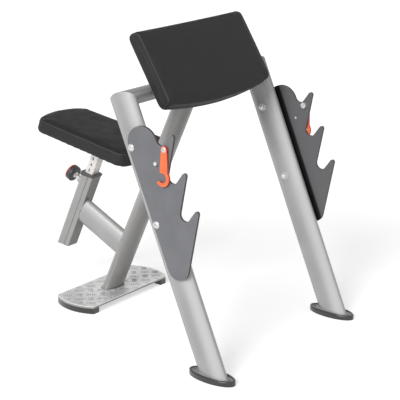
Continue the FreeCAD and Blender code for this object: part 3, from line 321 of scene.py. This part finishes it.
def peel(tree, shader, scale, height):
    skin = place_group(tree, orange_peel, Scale=scale, Height=height)
    wire(tree, skin, "Normal", shader, "Normal")


def distance_along(tree, direction, start):
    """How far a point lies along a direction, from a start, in metres."""
    where = tree.nodes.new("ShaderNodeTexCoord")
    along = add(tree, "ShaderNodeVectorMath", operation="DOT_PRODUCT")
    wire(tree, where, "Object", along, 0)
    along.inputs[1].default_value = direction
    rest = add(tree, "ShaderNodeMath", operation="SUBTRACT")
    tree.links.new(along.outputs["Value"], rest.inputs[0])
    rest.inputs[1].default_value = Vector(direction).dot(start)
    return rest.outputs[0]


def stepped(tree, value, low, high):
    step = ramp(tree, low, high)
    tree.links.new(value, step.inputs["Value"])
    return step.outputs["Result"]


def times(tree, one, other):
    made = add(tree, "ShaderNodeMath", operation="MULTIPLY")
    tree.links.new(one, made.inputs[0])
    tree.links.new(other, made.inputs[1])
    return made.outputs[0]


def cut_edge(tree, facing):
    """1 on the cut edges of a plate, 0 on its flat sides, which look along X."""
    flat = add(tree, "ShaderNodeMath", operation="ABSOLUTE")
    tree.links.new(facing["X"], flat.inputs[0])
    return stepped(tree, flat.outputs["Value"], 0.9, 0.5)


def bumped(tree, shader, pattern, strength, distance):
    """Raises the surface by a noise."""
    bump = tree.nodes.new("ShaderNodeBump")
    bump.inputs["Strength"].default_value = strength
    bump.inputs["Distance"].default_value = distance
    wire(tree, pattern, "Fac", bump, "Height")
    wire(tree, bump, "Normal", shader, "Normal")


def streaks(tree, squash, scale, detail, roughness):
    """A noise that is drawn out along X."""
    where = tree.nodes.new("ShaderNodeTexCoord")
    stretch = tree.nodes.new("ShaderNodeMapping")
    stretch.inputs["Scale"].default_value = (squash, 1, 1)
    wire(tree, where, "Object", stretch, "Vector")
    lines = noise(tree, scale, detail, roughness)
    wire(tree, stretch, "Vector", lines, "Vector")
    return lines


def painted(name, pale, dull, warm):
    """Metallic powder coat with painted light: a painted highlight where it turns between side and front,
    painted shade on level and low faces and towards the outline.
    """
    made, tree, shader = new_finish(name, metallic=0.15, coat=0.15, coat_roughness=0.25)
    cloud = mottled(tree, shader, 9.0, (grey(pale, warm), grey(dull, warm)), (0.34, 0.42))
    wear = place_group(tree, edge_mask, Spread=4.0)
    out = layered(tree, shader, cloud.outputs["Colour"], wear.outputs["Mask"], grey(pale * 1.25), 0.5)
    # Painted light: faces are made paler or darker by which way they look, as a key light from the sides and
    # front would light them.
    facing = tree.nodes.new("ShaderNodeNewGeometry")
    evenly = add(tree, "ShaderNodeVectorMath", operation="ABSOLUTE")
    wire(tree, facing, "Normal", evenly, 0)
    level = add(tree, "ShaderNodeVectorMath", operation="DOT_PRODUCT")
    tree.links.new(evenly.outputs["Vector"], level.inputs[0])
    level.inputs[1].default_value = (0.78, 0.55, 0)
    rise = add(tree, "ShaderNodeVectorMath", operation="DOT_PRODUCT")
    wire(tree, facing, "Normal", rise, 0)
    rise.inputs[1].default_value = (0, 0, 0.3)
    painted_light_facing = add(tree, "ShaderNodeMath", operation="ADD")
    tree.links.new(level.outputs["Value"], painted_light_facing.inputs[0])
    tree.links.new(rise.outputs["Value"], painted_light_facing.inputs[1])
    toward = painted_light_facing.outputs[0]
    # Painted highlight where a face turns between side and front, and a slightly warm painted shade on level
    # and low faces.
    out = layered(tree, shader, out, stepped(tree, toward, 0.8, 0.97), grey(pale * 1.4, warm), 0.85)
    out = layered(tree, shader, out, stepped(tree, toward, 0.76, 0.3), grey(pale * 0.5, 0.02), 0.9)
    # Painted shade towards the outline, where the surface turns away from the view.
    weight = tree.nodes.new("ShaderNodeLayerWeight")
    turned = stepped(tree, weight.outputs["Facing"], 0.6, 0.97)
    out = layered(tree, shader, out, turned, grey(pale * 0.35), 0.7)
    peel(tree, shader, 900.0, 0.12)
    return made, tree, shader, out


def silver_paint():
    return painted("silver powder coat", 0.41, 0.37, 0.0)[0]


def column_paint():
    """The same coat on the column, with painted shade that darkens it towards its foot."""
    made, tree, shader, out = painted("silver coat of the column with painted shade", 0.40, 0.36, 0.015)
    height = distance_along(tree, (0, 0, 1), Vector((0, 0, 0)))
    # Painted shade, slightly warm, darkening the column towards its foot.
    layered(tree, shader, out, stepped(tree, height, 0.52, 0.2), grey(0.16, 0.03), 0.4)
    return made


def guide_paint():
    """The same coat on the seat guide in a darker copy, as painted shade, with a dark line of painted shade
    along its groove.
    """
    # Darker tones than the frame's coat: painted shade.
    made, tree, shader, out = painted("silver coat of the guide with painted shade", 0.37, 0.33, 0.01)
    direction = column_place.to_3x3() @ Vector((0, 1, 0))
    back = distance_along(tree, direction, column_place.translation)
    # Painted shade: a dark line along the groove.
    groove = times(tree, stepped(tree, back, 0.2475, 0.2488), stepped(tree, back, 0.2525, 0.2512))
    layered(tree, shader, out, groove, grey(0.03), 0.9)
    return made


def plate_paint():
    made, tree, shader = new_finish("base powder coat", metallic=0.3)
    cloud = mottled(tree, shader, 12.0, (grey(0.34, 0.02), grey(0.28, 0.03)), (0.42, 0.5))
    wear = place_group(tree, edge_mask, Spread=4.0)
    layered(tree, shader, cloud.outputs["Colour"], wear.outputs["Mask"], grey(0.5), 0.5)
    peel(tree, shader, 900.0, 0.12)
    return made


def rack_paint():
    """Grey textured coat, with painted shade on the inner faces and a painted shadow of the leg on them, and
    dark and brown on the cut edges.
    """
    made, tree, shader = new_finish("rack powder coat", metallic=0.0, specular=0.35)
    cloud = mottled(tree, shader, 14.0, ((0.2, 0.202, 0.217, 1), (0.184, 0.186, 0.2, 1)), (0.5, 0.6))
    facing = facing_parts(tree)
    side = distance_along(tree, (1, 0, 0), Vector((0, 0, 0)))
    # Painted shade: the inner faces are darker.
    inward = stepped(tree, times(tree, side, facing["X"]), -0.1, -0.3)
    lean = Matrix.Rotation(math.radians(-LEG_LEAN), 3, "X")
    back = distance_along(tree, lean @ Vector((0, 1, 0)), Vector((0, LEG_FOOT_Y * MM, 0)))
    # Painted shadow of the leg: a near-black band beside it on the inner faces.
    shade = times(tree, inward, stepped(tree, back, -0.062, -0.052))
    out = layered(tree, shader, cloud.outputs["Colour"], inward, (0.132, 0.132, 0.138, 1))
    out = layered(tree, shader, out, shade, grey(0.003))
    layered(tree, shader, out, cut_edge(tree, facing), (0.07, 0.055, 0.045, 1), 0.9)
    peel(tree, shader, 1400.0, 0.35)
    return made


def hook_paint():
    made, tree, shader = new_finish("orange-red coat", specular=0.5, coat=0.2)
    cloud = mottled(tree, shader, 30.0, ((0.96, 0.2, 0.06, 1), (0.9, 0.17, 0.05, 1)), (0.34, 0.42))
    edge = cut_edge(tree, facing_parts(tree))
    out = layered(tree, shader, cloud.outputs["Colour"], edge, (0.62, 0.03, 0.012, 1))
    wear = place_group(tree, edge_mask, Spread=4.0)
    layered(tree, shader, out, wear.outputs["Mask"], (0.96, 0.3, 0.14, 1), 0.5)
    peel(tree, shader, 900.0, 0.1)
    return made


def vinyl(name, low, high, roughness, crease):
    made, tree, shader = new_finish(name, specular=0.16)
    cloud = mottled(tree, shader, 22.0, (grey(low), grey(high)), roughness)
    # Painted shade: faces that look up are darker.
    level = stepped(tree, facing_parts(tree)["Z"], 0.7, 0.95)
    layered(tree, shader, cloud.outputs["Colour"], level, grey(low * 0.4), 0.9)
    grain = place_group(tree, vinyl_grain, Cell=620.0, Height=0.35, Crease=crease)
    wire(tree, grain, "Normal", shader, "Normal")
    return made


def rubber():
    made, tree, shader = new_finish("black rubber", specular=0.5, coat=0.7, coat_roughness=0.12)
    cloud = mottled(tree, shader, 35.0, (grey(0.012, 0.03), grey(0.017, 0.05)), (0.3, 0.42))
    dust = place_group(tree, settled_dust, Amount=0.3)
    layered(tree, shader, cloud.outputs["Colour"], dust.outputs["Mask"], (0.16, 0.14, 0.12, 1), 0.4)
    peel(tree, shader, 700.0, 0.2)
    return made


def tread_metal():
    """Bright rolled aluminium with faint rolling lines."""
    made, tree, shader = new_finish("tread aluminium", metallic=0.55, specular=0.5)
    cloud = mottled(tree, shader, 45.0, (grey(0.9), grey(0.72)), (0.3, 0.42))
    bumped(tree, shader, streaks(tree, 0.06, 900.0, 3.0, 0.6), 0.15, 0.0003)
    dust = place_group(tree, settled_dust, Amount=0.6)
    layered(tree, shader, cloud.outputs["Colour"], dust.outputs["Mask"], grey(0.45), 0.3)
    return made


def bright_steel(name, tone, roughness, metallic=0.8, warm=0.0):
    """Zinc-plated steel with its faint cloudy bloom."""
    made, tree, shader = new_finish(name, metallic=metallic)
    cloud = mottled(tree, shader, 80.0, (grey(tone, warm), grey(tone * 0.86, warm)), roughness)
    wear = place_group(tree, edge_mask, Spread=4.0)
    layered(tree, shader, cloud.outputs["Colour"], wear.outputs["Mask"], grey(0.9), 0.4)
    peel(tree, shader, 1500.0, 0.08)
    return made


def moulded(name, low, high, roughness, scale=1200.0, height=0.2):
    made, tree, shader = new_finish(name, specular=0.5)
    mottled(tree, shader, 40.0, (low, high), roughness)
    peel(tree, shader, scale, height)
    return made


def plywood():
    made, tree, shader = new_finish("bare plywood", specular=0.3)
    grain = streaks(tree, 0.12, 90.0, 6.0, 0.65)
    step = ramp(tree, 0.3, 0.7)
    wire(tree, grain, "Fac", step, "Value")
    blend = mixer(tree)
    wire(tree, step, "Result", blend, "Factor")
    blend.inputs[6].default_value = (0.52, 0.34, 0.18, 1)
    blend.inputs[7].default_value = (0.36, 0.21, 0.10, 1)
    tree.links.new(blend.outputs[2], shader.inputs["Base Color"])
    shader.inputs["Roughness"].default_value = 0.7
    bumped(tree, shader, grain, 0.2, 0.0005)
    return made


silver = silver_paint()
base_coat = plate_paint()
rack_coat = rack_paint()
red_coat = hook_paint()
column_silver_painted_shade = column_paint()
guide_silver_painted_shade = guide_paint()
black_vinyl = vinyl("black vinyl", 0.029, 0.035, (0.5, 0.6), 0.25)
# The welts' vinyl is lighter than the cover's: a painted sheen along the seams.
welt_vinyl_painted_sheen = vinyl("welt vinyl with painted sheen", 0.075, 0.09, (0.32, 0.4), 0.0)
collar_plastic = moulded("collar plastic", grey(0.07), grey(0.085), (0.36, 0.48))
black_rubber = rubber()
tread_aluminium = tread_metal()
# The raised bars are a dull grey, darker than the plate's aluminium: painted shade for their darker sloped
# faces.
tread_ribs_painted_shade = moulded("tread ribs with painted shade", grey(0.46), grey(0.36), (0.35, 0.45))
post_zinc = bright_steel("post zinc", 0.92, (0.34, 0.46), metallic=0.2, warm=0.025)
bolt_zinc = bright_steel("bolt zinc", 0.78, (0.18, 0.3), metallic=0.7)
dark_plastic = moulded("black plastic", (0.018, 0.019, 0.022, 1), (0.028, 0.029, 0.033, 1), (0.36, 0.48))
knob_plastic = moulded("knob plastic", (0.045, 0.047, 0.056, 1), (0.055, 0.057, 0.068, 1), (0.32, 0.42))
cap_plastic = moulded("red cap", (0.9, 0.12, 0.04, 1), (0.82, 0.1, 0.03, 1), (0.3, 0.38), 900.0, 0.08)
numeral_ink = moulded("numeral ink", (0.02, 0.02, 0.02, 1), (0.035, 0.035, 0.035, 1), (0.6, 0.7))
bare_ply = plywood()

FINISHES = {
    "frame_paint": silver,
    "plate_paint": base_coat,
    "rack_paint": rack_coat,
    "hook_paint": red_coat,
    "black_vinyl": black_vinyl,
    "plywood": bare_ply,
    "foot_rubber": black_rubber,
    "tread_aluminium": tread_aluminium,
    "zinc_steel": post_zinc,
    "bolt_steel": bolt_zinc,
    "black_plastic": dark_plastic,
    "knob_cap_red": cap_plastic,
}


def dress(piece, finish):
    piece.data.materials.clear()
    piece.data.materials.append(finish)


for part in frame["record"]["subparts"]:
    dress(nodes[part["node"]], FINISHES[part["material_slot"]])
for name in ("pull_pin_plunger", "pin_barrel"):
    dress(nodes[name], bolt_zinc)
dress(nodes["column_tube"], column_silver_painted_shade)
dress(nodes["guide_tube"], guide_silver_painted_shade)
dress(nodes["guide_collar"], collar_plastic)
dress(nodes["pull_pin_knob"], knob_plastic)


# New pieces


def new_piece(name, mesh, body, finish):
    piece = bpy.data.objects.new(name, mesh)
    scene.collection.objects.link(piece)
    dress(piece, finish)
    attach(piece, body)
    return piece


def mesh_of(bm, name, smooth=True):
    mesh = bpy.data.meshes.new(name)
    bm.to_mesh(mesh)
    bm.free()
    for face in mesh.polygons:
        face.use_smooth = smooth
    return mesh


def baked(piece):
    """The piece's mesh with its modifiers applied."""
    graph = bpy.context.evaluated_depsgraph_get()
    return bpy.data.meshes.new_from_object(piece.evaluated_get(graph), depsgraph=graph)


# Upholstery


def remeshed(name, node, voxel):
    """A closed, even copy of a CAD cushion."""
    bm = bmesh.new()
    bm.from_mesh(nodes[node].data)
    bmesh.ops.remove_doubles(bm, verts=bm.verts, dist=0.00001)
    rough = bpy.data.objects.new(name, mesh_of(bm, name))
    scene.collection.objects.link(rough)
    even = rough.modifiers.new("even", "REMESH")
    even.mode = "VOXEL"
    even.voxel_size = voxel
    mesh = baked(rough)
    bpy.data.objects.remove(rough)
    return mesh


def blown_up(name, mesh, held, cap):
    """Swells a cushion as stretched cloth, held where the board holds it, by no more than a cap."""
    soft = bpy.data.objects.new(name, mesh)
    scene.collection.objects.link(soft)
    grip = soft.vertex_groups.new(name="held")
    grip.add([v.index for v in mesh.vertices if held(v.co)], 1.0, "REPLACE")
    cloth = soft.modifiers.new("swell", "CLOTH")
    cloth.settings.quality = 5
    cloth.settings.mass = 0.3
    cloth.settings.tension_stiffness = 20
    cloth.settings.compression_stiffness = 20
    cloth.settings.bending_stiffness = 1.0
    cloth.settings.use_pressure = True
    cloth.settings.uniform_pressure_force = 4
    cloth.settings.effector_weights.gravity = 0
    cloth.settings.vertex_group_mass = "held"
    cloth.point_cache.frame_start = 1
    cloth.point_cache.frame_end = 20
    before = [v.co.copy() for v in mesh.vertices]
    for step in range(1, 21):
        scene.frame_set(step)
    grown = baked(soft)
    scene.frame_set(1)
    for start, vertex in zip(before, grown.vertices):
        shift = vertex.co - start
        if shift.length > cap:
            vertex.co = start + shift * (cap / shift.length)
    bpy.data.objects.remove(soft)
    return grown


def smooth(bm, verts, rounds):
    """Smooths and swells by turns, so that the shape keeps its size."""
    axes = {"use_axis_x": True, "use_axis_y": True, "use_axis_z": True}
    for factor in (0.5, -0.52) * rounds:
        bmesh.ops.smooth_vert(bm, verts=verts, factor=factor, **axes)


def evened(mesh, rounds, keep):
    """Smooths a mesh, but not where keep says."""
    bm = bmesh.new()
    bm.from_mesh(mesh)
    smooth(bm, [v for v in bm.verts if not keep(v.co)], rounds)
    return mesh_of(bm, mesh.name)


def subdivided(mesh):
    bm = bmesh.new()
    bm.from_mesh(mesh)
    bmesh.ops.subdivide_edges(bm, edges=bm.edges, cuts=1, use_grid_fill=True)
    smooth(bm, bm.verts[:], 2)
    return mesh_of(bm, mesh.name)


def seam_loop(mesh, point, normal):
    """The closed line where a plane meets a cushion, in order."""
    bm = bmesh.new()
    bm.from_mesh(mesh)
    cut = bmesh.ops.bisect_plane(
        bm,
        geom=bm.verts[:] + bm.edges[:] + bm.faces[:],
        plane_co=point,
        plane_no=normal,
    )["geom_cut"]
    edges = {e for e in cut if isinstance(e, bmesh.types.BMEdge)}
    links = {}
    for edge in edges:
        for one, other in (edge.verts, reversed(edge.verts)):
            links.setdefault(one, []).append(other)
    start = max(links, key=lambda v: v.co.z)
    line = [start]
    here, back = links[start][0], start
    while here is not start and len(line) < len(links):
        line.append(here)
        ahead = [v for v in links[here] if v is not back]
        back, here = here, ahead[0] if ahead else start
    points = [v.co.copy() for v in line]
    bm.free()
    return points


def eased(points, spacing, rounds=6):
    """Evenly thinned and smoothed closed line."""
    kept = [points[0]]
    for point in points:
        if (point - kept[-1]).length >= spacing:
            kept.append(point)
    for _ in range(rounds):
        count = len(kept)
        kept = [(kept[i - 1] + kept[i] * 2 + kept[(i + 1) % count]) / 4 for i in range(count)]
    return kept


def tube_along(name, points, radius, sides=3):
    """A round cord of mesh along a closed line."""
    line = bpy.data.curves.new(name, "CURVE")
    line.dimensions = "3D"
    line.bevel_depth = radius
    line.bevel_resolution = sides
    spline = line.splines.new("POLY")
    spline.points.add(len(points) - 1)
    for target, point in zip(spline.points, points):
        target.co = (*point, 1)
    spline.use_cyclic_u = True
    holder = bpy.data.objects.new(name, line)
    scene.collection.objects.link(holder)
    mesh = baked(holder)
    bpy.data.objects.remove(holder)
    for face in mesh.polygons:
        face.use_smooth = True
    return mesh


def grooved(mesh, planes, width, depth):
    """Draws the cover in along the planes of its seams."""
    bm = bmesh.new()
    bm.from_mesh(mesh)
    bm.normal_update()
    for vertex in bm.verts:
        for point, normal in planes:
            away = abs((vertex.co - point).dot(normal))
            if away < 3 * width:
                vertex.co -= vertex.normal * depth * math.exp(-((away / width) ** 2))
    return mesh_of(bm, mesh.name)


# Height of a CAD cushion's crown against the distance from its edge: shares of crown and run
CROWN_SHARES = ((0.0, 0.0), (0.06, 0.0), (0.15, 0.3), (0.34, 0.6), (0.62, 0.85), (1.0, 1.0))


def crown_share(away):
    for (near, low), (far, high) in zip(CROWN_SHARES, CROWN_SHARES[1:]):
        if away < far:
            return low + (high - low) * max(away - near, 0.0) / (far - near)
    return 1.0


def rolled(mesh, place):
    """Carries the arm pad's crown out to its ends and rounds its upper edge, as a cover is drawn over."""
    half, length, bulge = 267.0 * MM, 259.0 * MM, 25.0 * MM
    side, crown, run = 46.0 * MM, 7.0 * MM, 62.0 * MM
    foot, edge = 16.0 * MM, 24.0 * MM
    crest_share, crest_gain, fall_limit, fall_power = 0.42, 1.15, 1.1, 2.2
    back = place.inverted()
    for vertex in mesh.vertices:
        spot = back @ vertex.co
        if spot.z <= foot:
            continue
        low = -bulge * (1 - (spot.x / half) ** 2)
        away = min(half - abs(spot.x), spot.y - low, length - spot.y)
        now = side + crown * crown_share(max(away, 0.0) / run)
        across = (spot.y - crest_share * length) / ((1 - crest_share) * length)
        then = side + crown * (crest_gain - min(abs(across), fall_limit) ** fall_power)
        over = min(max(spot.y - (length - edge), 0.0), edge)
        then -= edge - math.sqrt(edge * edge - over * over)
        spot.z = foot + (spot.z - foot) * (then - foot) / (now - foot)
        vertex.co = place @ spot
    return mesh


def cushion(name, node, place, body, cap, seams, shape=None):
    """A cushion with its seams: seams are planes in the cushion's own place."""
    back = place.inverted()
    held_height, voxel = 0.015, 0.0045

    def held(point):
        return (back @ point).z < held_height

    mesh = remeshed(name, node, voxel)
    mesh = blown_up(name, mesh, held, cap)
    mesh = evened(mesh, 6, held)
    mesh = subdivided(mesh)
    if shape:
        mesh = shape(mesh, place)
    turn = place.to_3x3()
    planes = [(place @ Vector(point), turn @ Vector(normal)) for point, normal in seams]
    welt_radius, point_spacing, groove_width, groove_depth = 0.0012, 0.004, 0.002, 0.001
    for number, (point, normal) in enumerate(planes):
        loop = eased(seam_loop(mesh, point, normal), point_spacing)
        cord = tube_along(name + "_welt", loop, welt_radius)
        welt = new_piece("%s_welt_%d" % (name, number + 1), cord, body, welt_vinyl_painted_sheen)
        welt.data.name = welt.name
    mesh = grooved(mesh, planes, groove_width, groove_depth)
    cover = new_piece(name, mesh, body, black_vinyl)
    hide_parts(node)


cushion(
    "arm_pad_cover",
    "arm_pad_cushion",
    arm_place,
    "frame",
    0.003,
    [((0.2605, 0, 0), (1, 0, 0)), ((-0.2605, 0, 0), (1, 0, 0))],
    rolled,
)
cushion("seat_cover", "seat_cushion", seat_place, "seat", 0.003, [((0, 0, 0.0425), (0, 0, 1))])


# Raised bars of the tread plate


def tread_bars():
    """Five-bar groups that alternate in direction, on the tread plate's top."""
    pitch, bar_step = 0.0582, 0.0064
    bar_half, bar_width, bar_rise = 0.0125, 0.0019, 0.0011
    phase = Vector((0.0266, BASE_Y * MM + 0.0274))
    low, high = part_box("tread_plate")
    top = high.z
    edge = BVHTree.FromPolygons(
        [v.co for v in nodes["tread_plate"].data.vertices],
        [p.vertices for p in nodes["tread_plate"].data.polygons],
    )

    def on_plate(x, y):
        hit = edge.ray_cast(Vector((x, y, top + 0.01)), Vector((0, 0, -1)), 0.02)
        return hit[0] is not None and abs(hit[0].z - top) < 0.0005

    bar = bmesh.new()
    bmesh.ops.create_icosphere(bar, subdivisions=1, radius=1.0)
    bmesh.ops.scale(bar, vec=(bar_half, bar_width, bar_rise), verts=bar.verts)
    template = mesh_of(bar, "tread_bar")
    bm = bmesh.new()
    for column in range(-9, 10):
        for row in range(-6, 7):
            if (column + row) % 2:
                continue
            centre = phase + Vector((column, row)) * (pitch / 2)
            angle = math.radians(45 if column % 2 else -45)
            across = Vector((-math.sin(angle), math.cos(angle)))
            along = Vector((math.cos(angle), math.sin(angle)))
            for step in range(-2, 3):
                spot = centre + across * (step * bar_step)
                ends = (spot + along * bar_half, spot - along * bar_half, spot)
                if not all(on_plate(point.x, point.y) for point in ends):
                    continue
                count = len(bm.verts)
                bm.from_mesh(template)
                bm.verts.ensure_lookup_table()
                turn = Matrix.Translation((spot.x, spot.y, top)) @ Matrix.Rotation(angle, 4, "Z")
                bmesh.ops.transform(bm, matrix=turn, verts=bm.verts[count:])
    bpy.data.meshes.remove(template)
    new_piece("tread_bars", mesh_of(bm, "tread_bars"), "frame", tread_ribs_painted_shade)


tread_bars()


# Numerals on the seat post


def numerals():
    """Plain numbers down the post's right side, as far apart as its holes."""
    top, pitch, lift, rearward = 455.0, 25.0, 0.05, 2.0
    face = Matrix(((0, 0, -1, 0), (-1, 0, 0, 0), (0, 1, 0, 0), (0, 0, 0, 1)))
    bm = bmesh.new()
    for count, digit in enumerate("2345678"):
        words = bpy.data.curves.new("numeral_" + digit, "FONT")
        words.body = digit
        words.size = 0.0165
        words.align_x = "CENTER"
        words.align_y = "CENTER"
        words.extrude = 0.00012
        words.offset = 0.0005
        holder = bpy.data.objects.new("numeral_" + digit, words)
        scene.collection.objects.link(holder)
        flat = baked(holder)
        bpy.data.objects.remove(holder)
        height = (top - pitch * count) * MM
        spot = Matrix.Translation((-(POST_HALF + lift) * MM, (POST_BACK + rearward) * MM, height))
        flat.transform(column_place @ spot @ face)
        bm.from_mesh(flat)
        bpy.data.meshes.remove(flat)
    row = mesh_of(bm, "post_numerals", smooth=False)
    new_piece("post_numerals", row, "seat", numeral_ink)


numerals()


# Weld beads


def weld_loop(node, centre, axis, long_way, short_way, half_long, half_short, count=72):
    """The line where an oval tube meets a node, found by looking along the tube."""
    data = nodes[node].data
    tree = BVHTree.FromPolygons([v.co for v in data.vertices], [p.vertices for p in data.polygons])
    points = []
    for step in range(count):
        angle = 2 * math.pi * step / count
        start = centre + long_way * (half_long * math.cos(angle)) + short_way * (half_short * math.sin(angle))
        hit = tree.ray_cast(start, axis, 0.4)[0]
        if hit is not None:
            points.append(hit)
    return points


def weld(name, points, radius=0.0017):
    new_piece(name, tube_along(name, points, radius, 2), "frame", silver)


def make_welds():
    half_long = TUBE_DEPTH / 2 * MM
    half_short = TUBE_WIDTH / 2 * MM
    across = Vector((1, 0, 0))
    turn = column_place.to_3x3()
    up, rear = turn @ Vector((0, 0, 1)), turn @ Vector((0, 1, 0))
    brace_back, brace_height, inside_column = 0.12, 0.2116, 0.75
    foot_height, above_foot, foot_forward = 0.014, 0.06, 5.0
    brace = column_place @ Vector((0, brace_back, brace_height))
    weld("weld_brace_column", weld_loop("column_tube", brace, -rear, up, across, half_long, half_short))
    weld("weld_brace_guide", weld_loop("guide_tube", brace, rear, up, across, half_long, half_short))
    top = column_place @ Vector((0, 0, inside_column))
    weld("weld_column_top", weld_loop("cross_tube", top, up, rear, across, half_short, half_long))
    lean = Matrix.Rotation(math.radians(-LEG_LEAN), 3, "X")
    leg_up, leg_rear = lean @ Vector((0, 0, 1)), lean @ Vector((0, 1, 0))
    for word, side in (("left", 1), ("right", -1)):
        foot = Vector((side * LEG_HALF * MM, (BOOT_Y - foot_forward) * MM, foot_height))
        foot += leg_up * above_foot
        weld(
            "weld_%s_foot" % word,
            weld_loop(word + "_foot_plate", foot, -leg_up, leg_rear, across, half_long, half_short),
        )


make_welds()


# Room, light and camera: the floor's glow keeps it white, and its shadow stays
ROOM_LIGHT, FLOOR_GLOW = 0.4, 0.54


def seen_directly(tree):
    """1 for what the camera, a reflection or clear material sees, 0 for plain light."""
    rays = tree.nodes.new("ShaderNodeLightPath")
    either = add(tree, "ShaderNodeMath", operation="MAXIMUM")
    wire(tree, rays, "Is Camera Ray", either, 0)
    wire(tree, rays, "Is Glossy Ray", either, 1)
    every = add(tree, "ShaderNodeMath", operation="MAXIMUM")
    tree.links.new(either.outputs[0], every.inputs[0])
    wire(tree, rays, "Is Transmission Ray", every, 1)
    return every.outputs[0]


def white_room():
    """White all round for what sees it, and a plain level of light for what it lights."""
    world = bpy.data.worlds.new("studio")
    scene.world = world
    world.use_nodes = True
    tree = world.node_tree
    light = tree.nodes["Background"]
    light.inputs["Color"].default_value = (1, 1, 1, 1)
    light.inputs["Strength"].default_value = ROOM_LIGHT
    seen = tree.nodes.new("ShaderNodeBackground")
    seen.inputs["Strength"].default_value = 1.0
    both = tree.nodes.new("ShaderNodeMixShader")
    tree.links.new(seen_directly(tree), both.inputs[0])
    wire(tree, light, "Background", both, 1)
    wire(tree, seen, "Background", both, 2)
    wire(tree, both, "Shader", tree.nodes["World Output"], "Surface")


def pale_floor():
    bm = bmesh.new()
    bmesh.ops.create_grid(bm, x_segments=1, y_segments=1, size=30.0)
    floor = bpy.data.objects.new("floor", mesh_of(bm, "floor", smooth=False))
    scene.collection.objects.link(floor)
    made = bpy.data.materials.new("pale floor")
    made.use_nodes = True
    tree = made.node_tree
    tree.nodes.remove(tree.nodes["Principled BSDF"])
    plain = tree.nodes.new("ShaderNodeBsdfDiffuse")
    plain.inputs["Color"].default_value = (0.7, 0.7, 0.7, 1)
    glow = tree.nodes.new("ShaderNodeEmission")
    glow.inputs["Color"].default_value = (1, 1, 1, 1)
    level = add(tree, "ShaderNodeMath", operation="MULTIPLY")
    tree.links.new(seen_directly(tree), level.inputs[0])
    level.inputs[1].default_value = FLOOR_GLOW
    tree.links.new(level.outputs[0], glow.inputs["Strength"])
    both = tree.nodes.new("ShaderNodeAddShader")
    wire(tree, plain, "BSDF", both, 0)
    wire(tree, glow, "Emission", both, 1)
    wire(tree, both, "Shader", tree.nodes["Material Output"], "Surface")
    floor.data.materials.append(made)


def sun(name, towards, strength, spread):
    """A soft sun: towards is where it stands, seen from the object."""
    lamp = bpy.data.lights.new(name, "SUN")
    lamp.energy = strength
    lamp.angle = math.radians(spread)
    holder = bpy.data.objects.new(name, lamp)
    scene.collection.objects.link(holder)
    holder.rotation_euler = Vector(towards).to_track_quat("Z", "Y").to_euler()


def camera():
    view = bpy.data.cameras.new("camera")
    view.sensor_width = 36.0
    view.lens = 115.3744
    view.clip_end = 100.0
    holder = bpy.data.objects.new("camera", view)
    scene.collection.objects.link(holder)
    eye = Vector((-3192.76, BOOT_Y - 2267.63, 1752.38)) * MM
    target = Vector((-262.1955, BOOT_Y + 109.57, 545.7223)) * MM
    holder.location = eye
    holder.rotation_euler = (target - eye).to_track_quat("-Z", "Y").to_euler()
    scene.camera = holder


scene.view_settings.view_transform = "Standard"
white_room()
pale_floor()
sun("key", (-0.85, -0.12, 0.55), 2.2, 28)
sun("fill", (0.2, -0.9, 0.5), 0.15, 60)
camera()
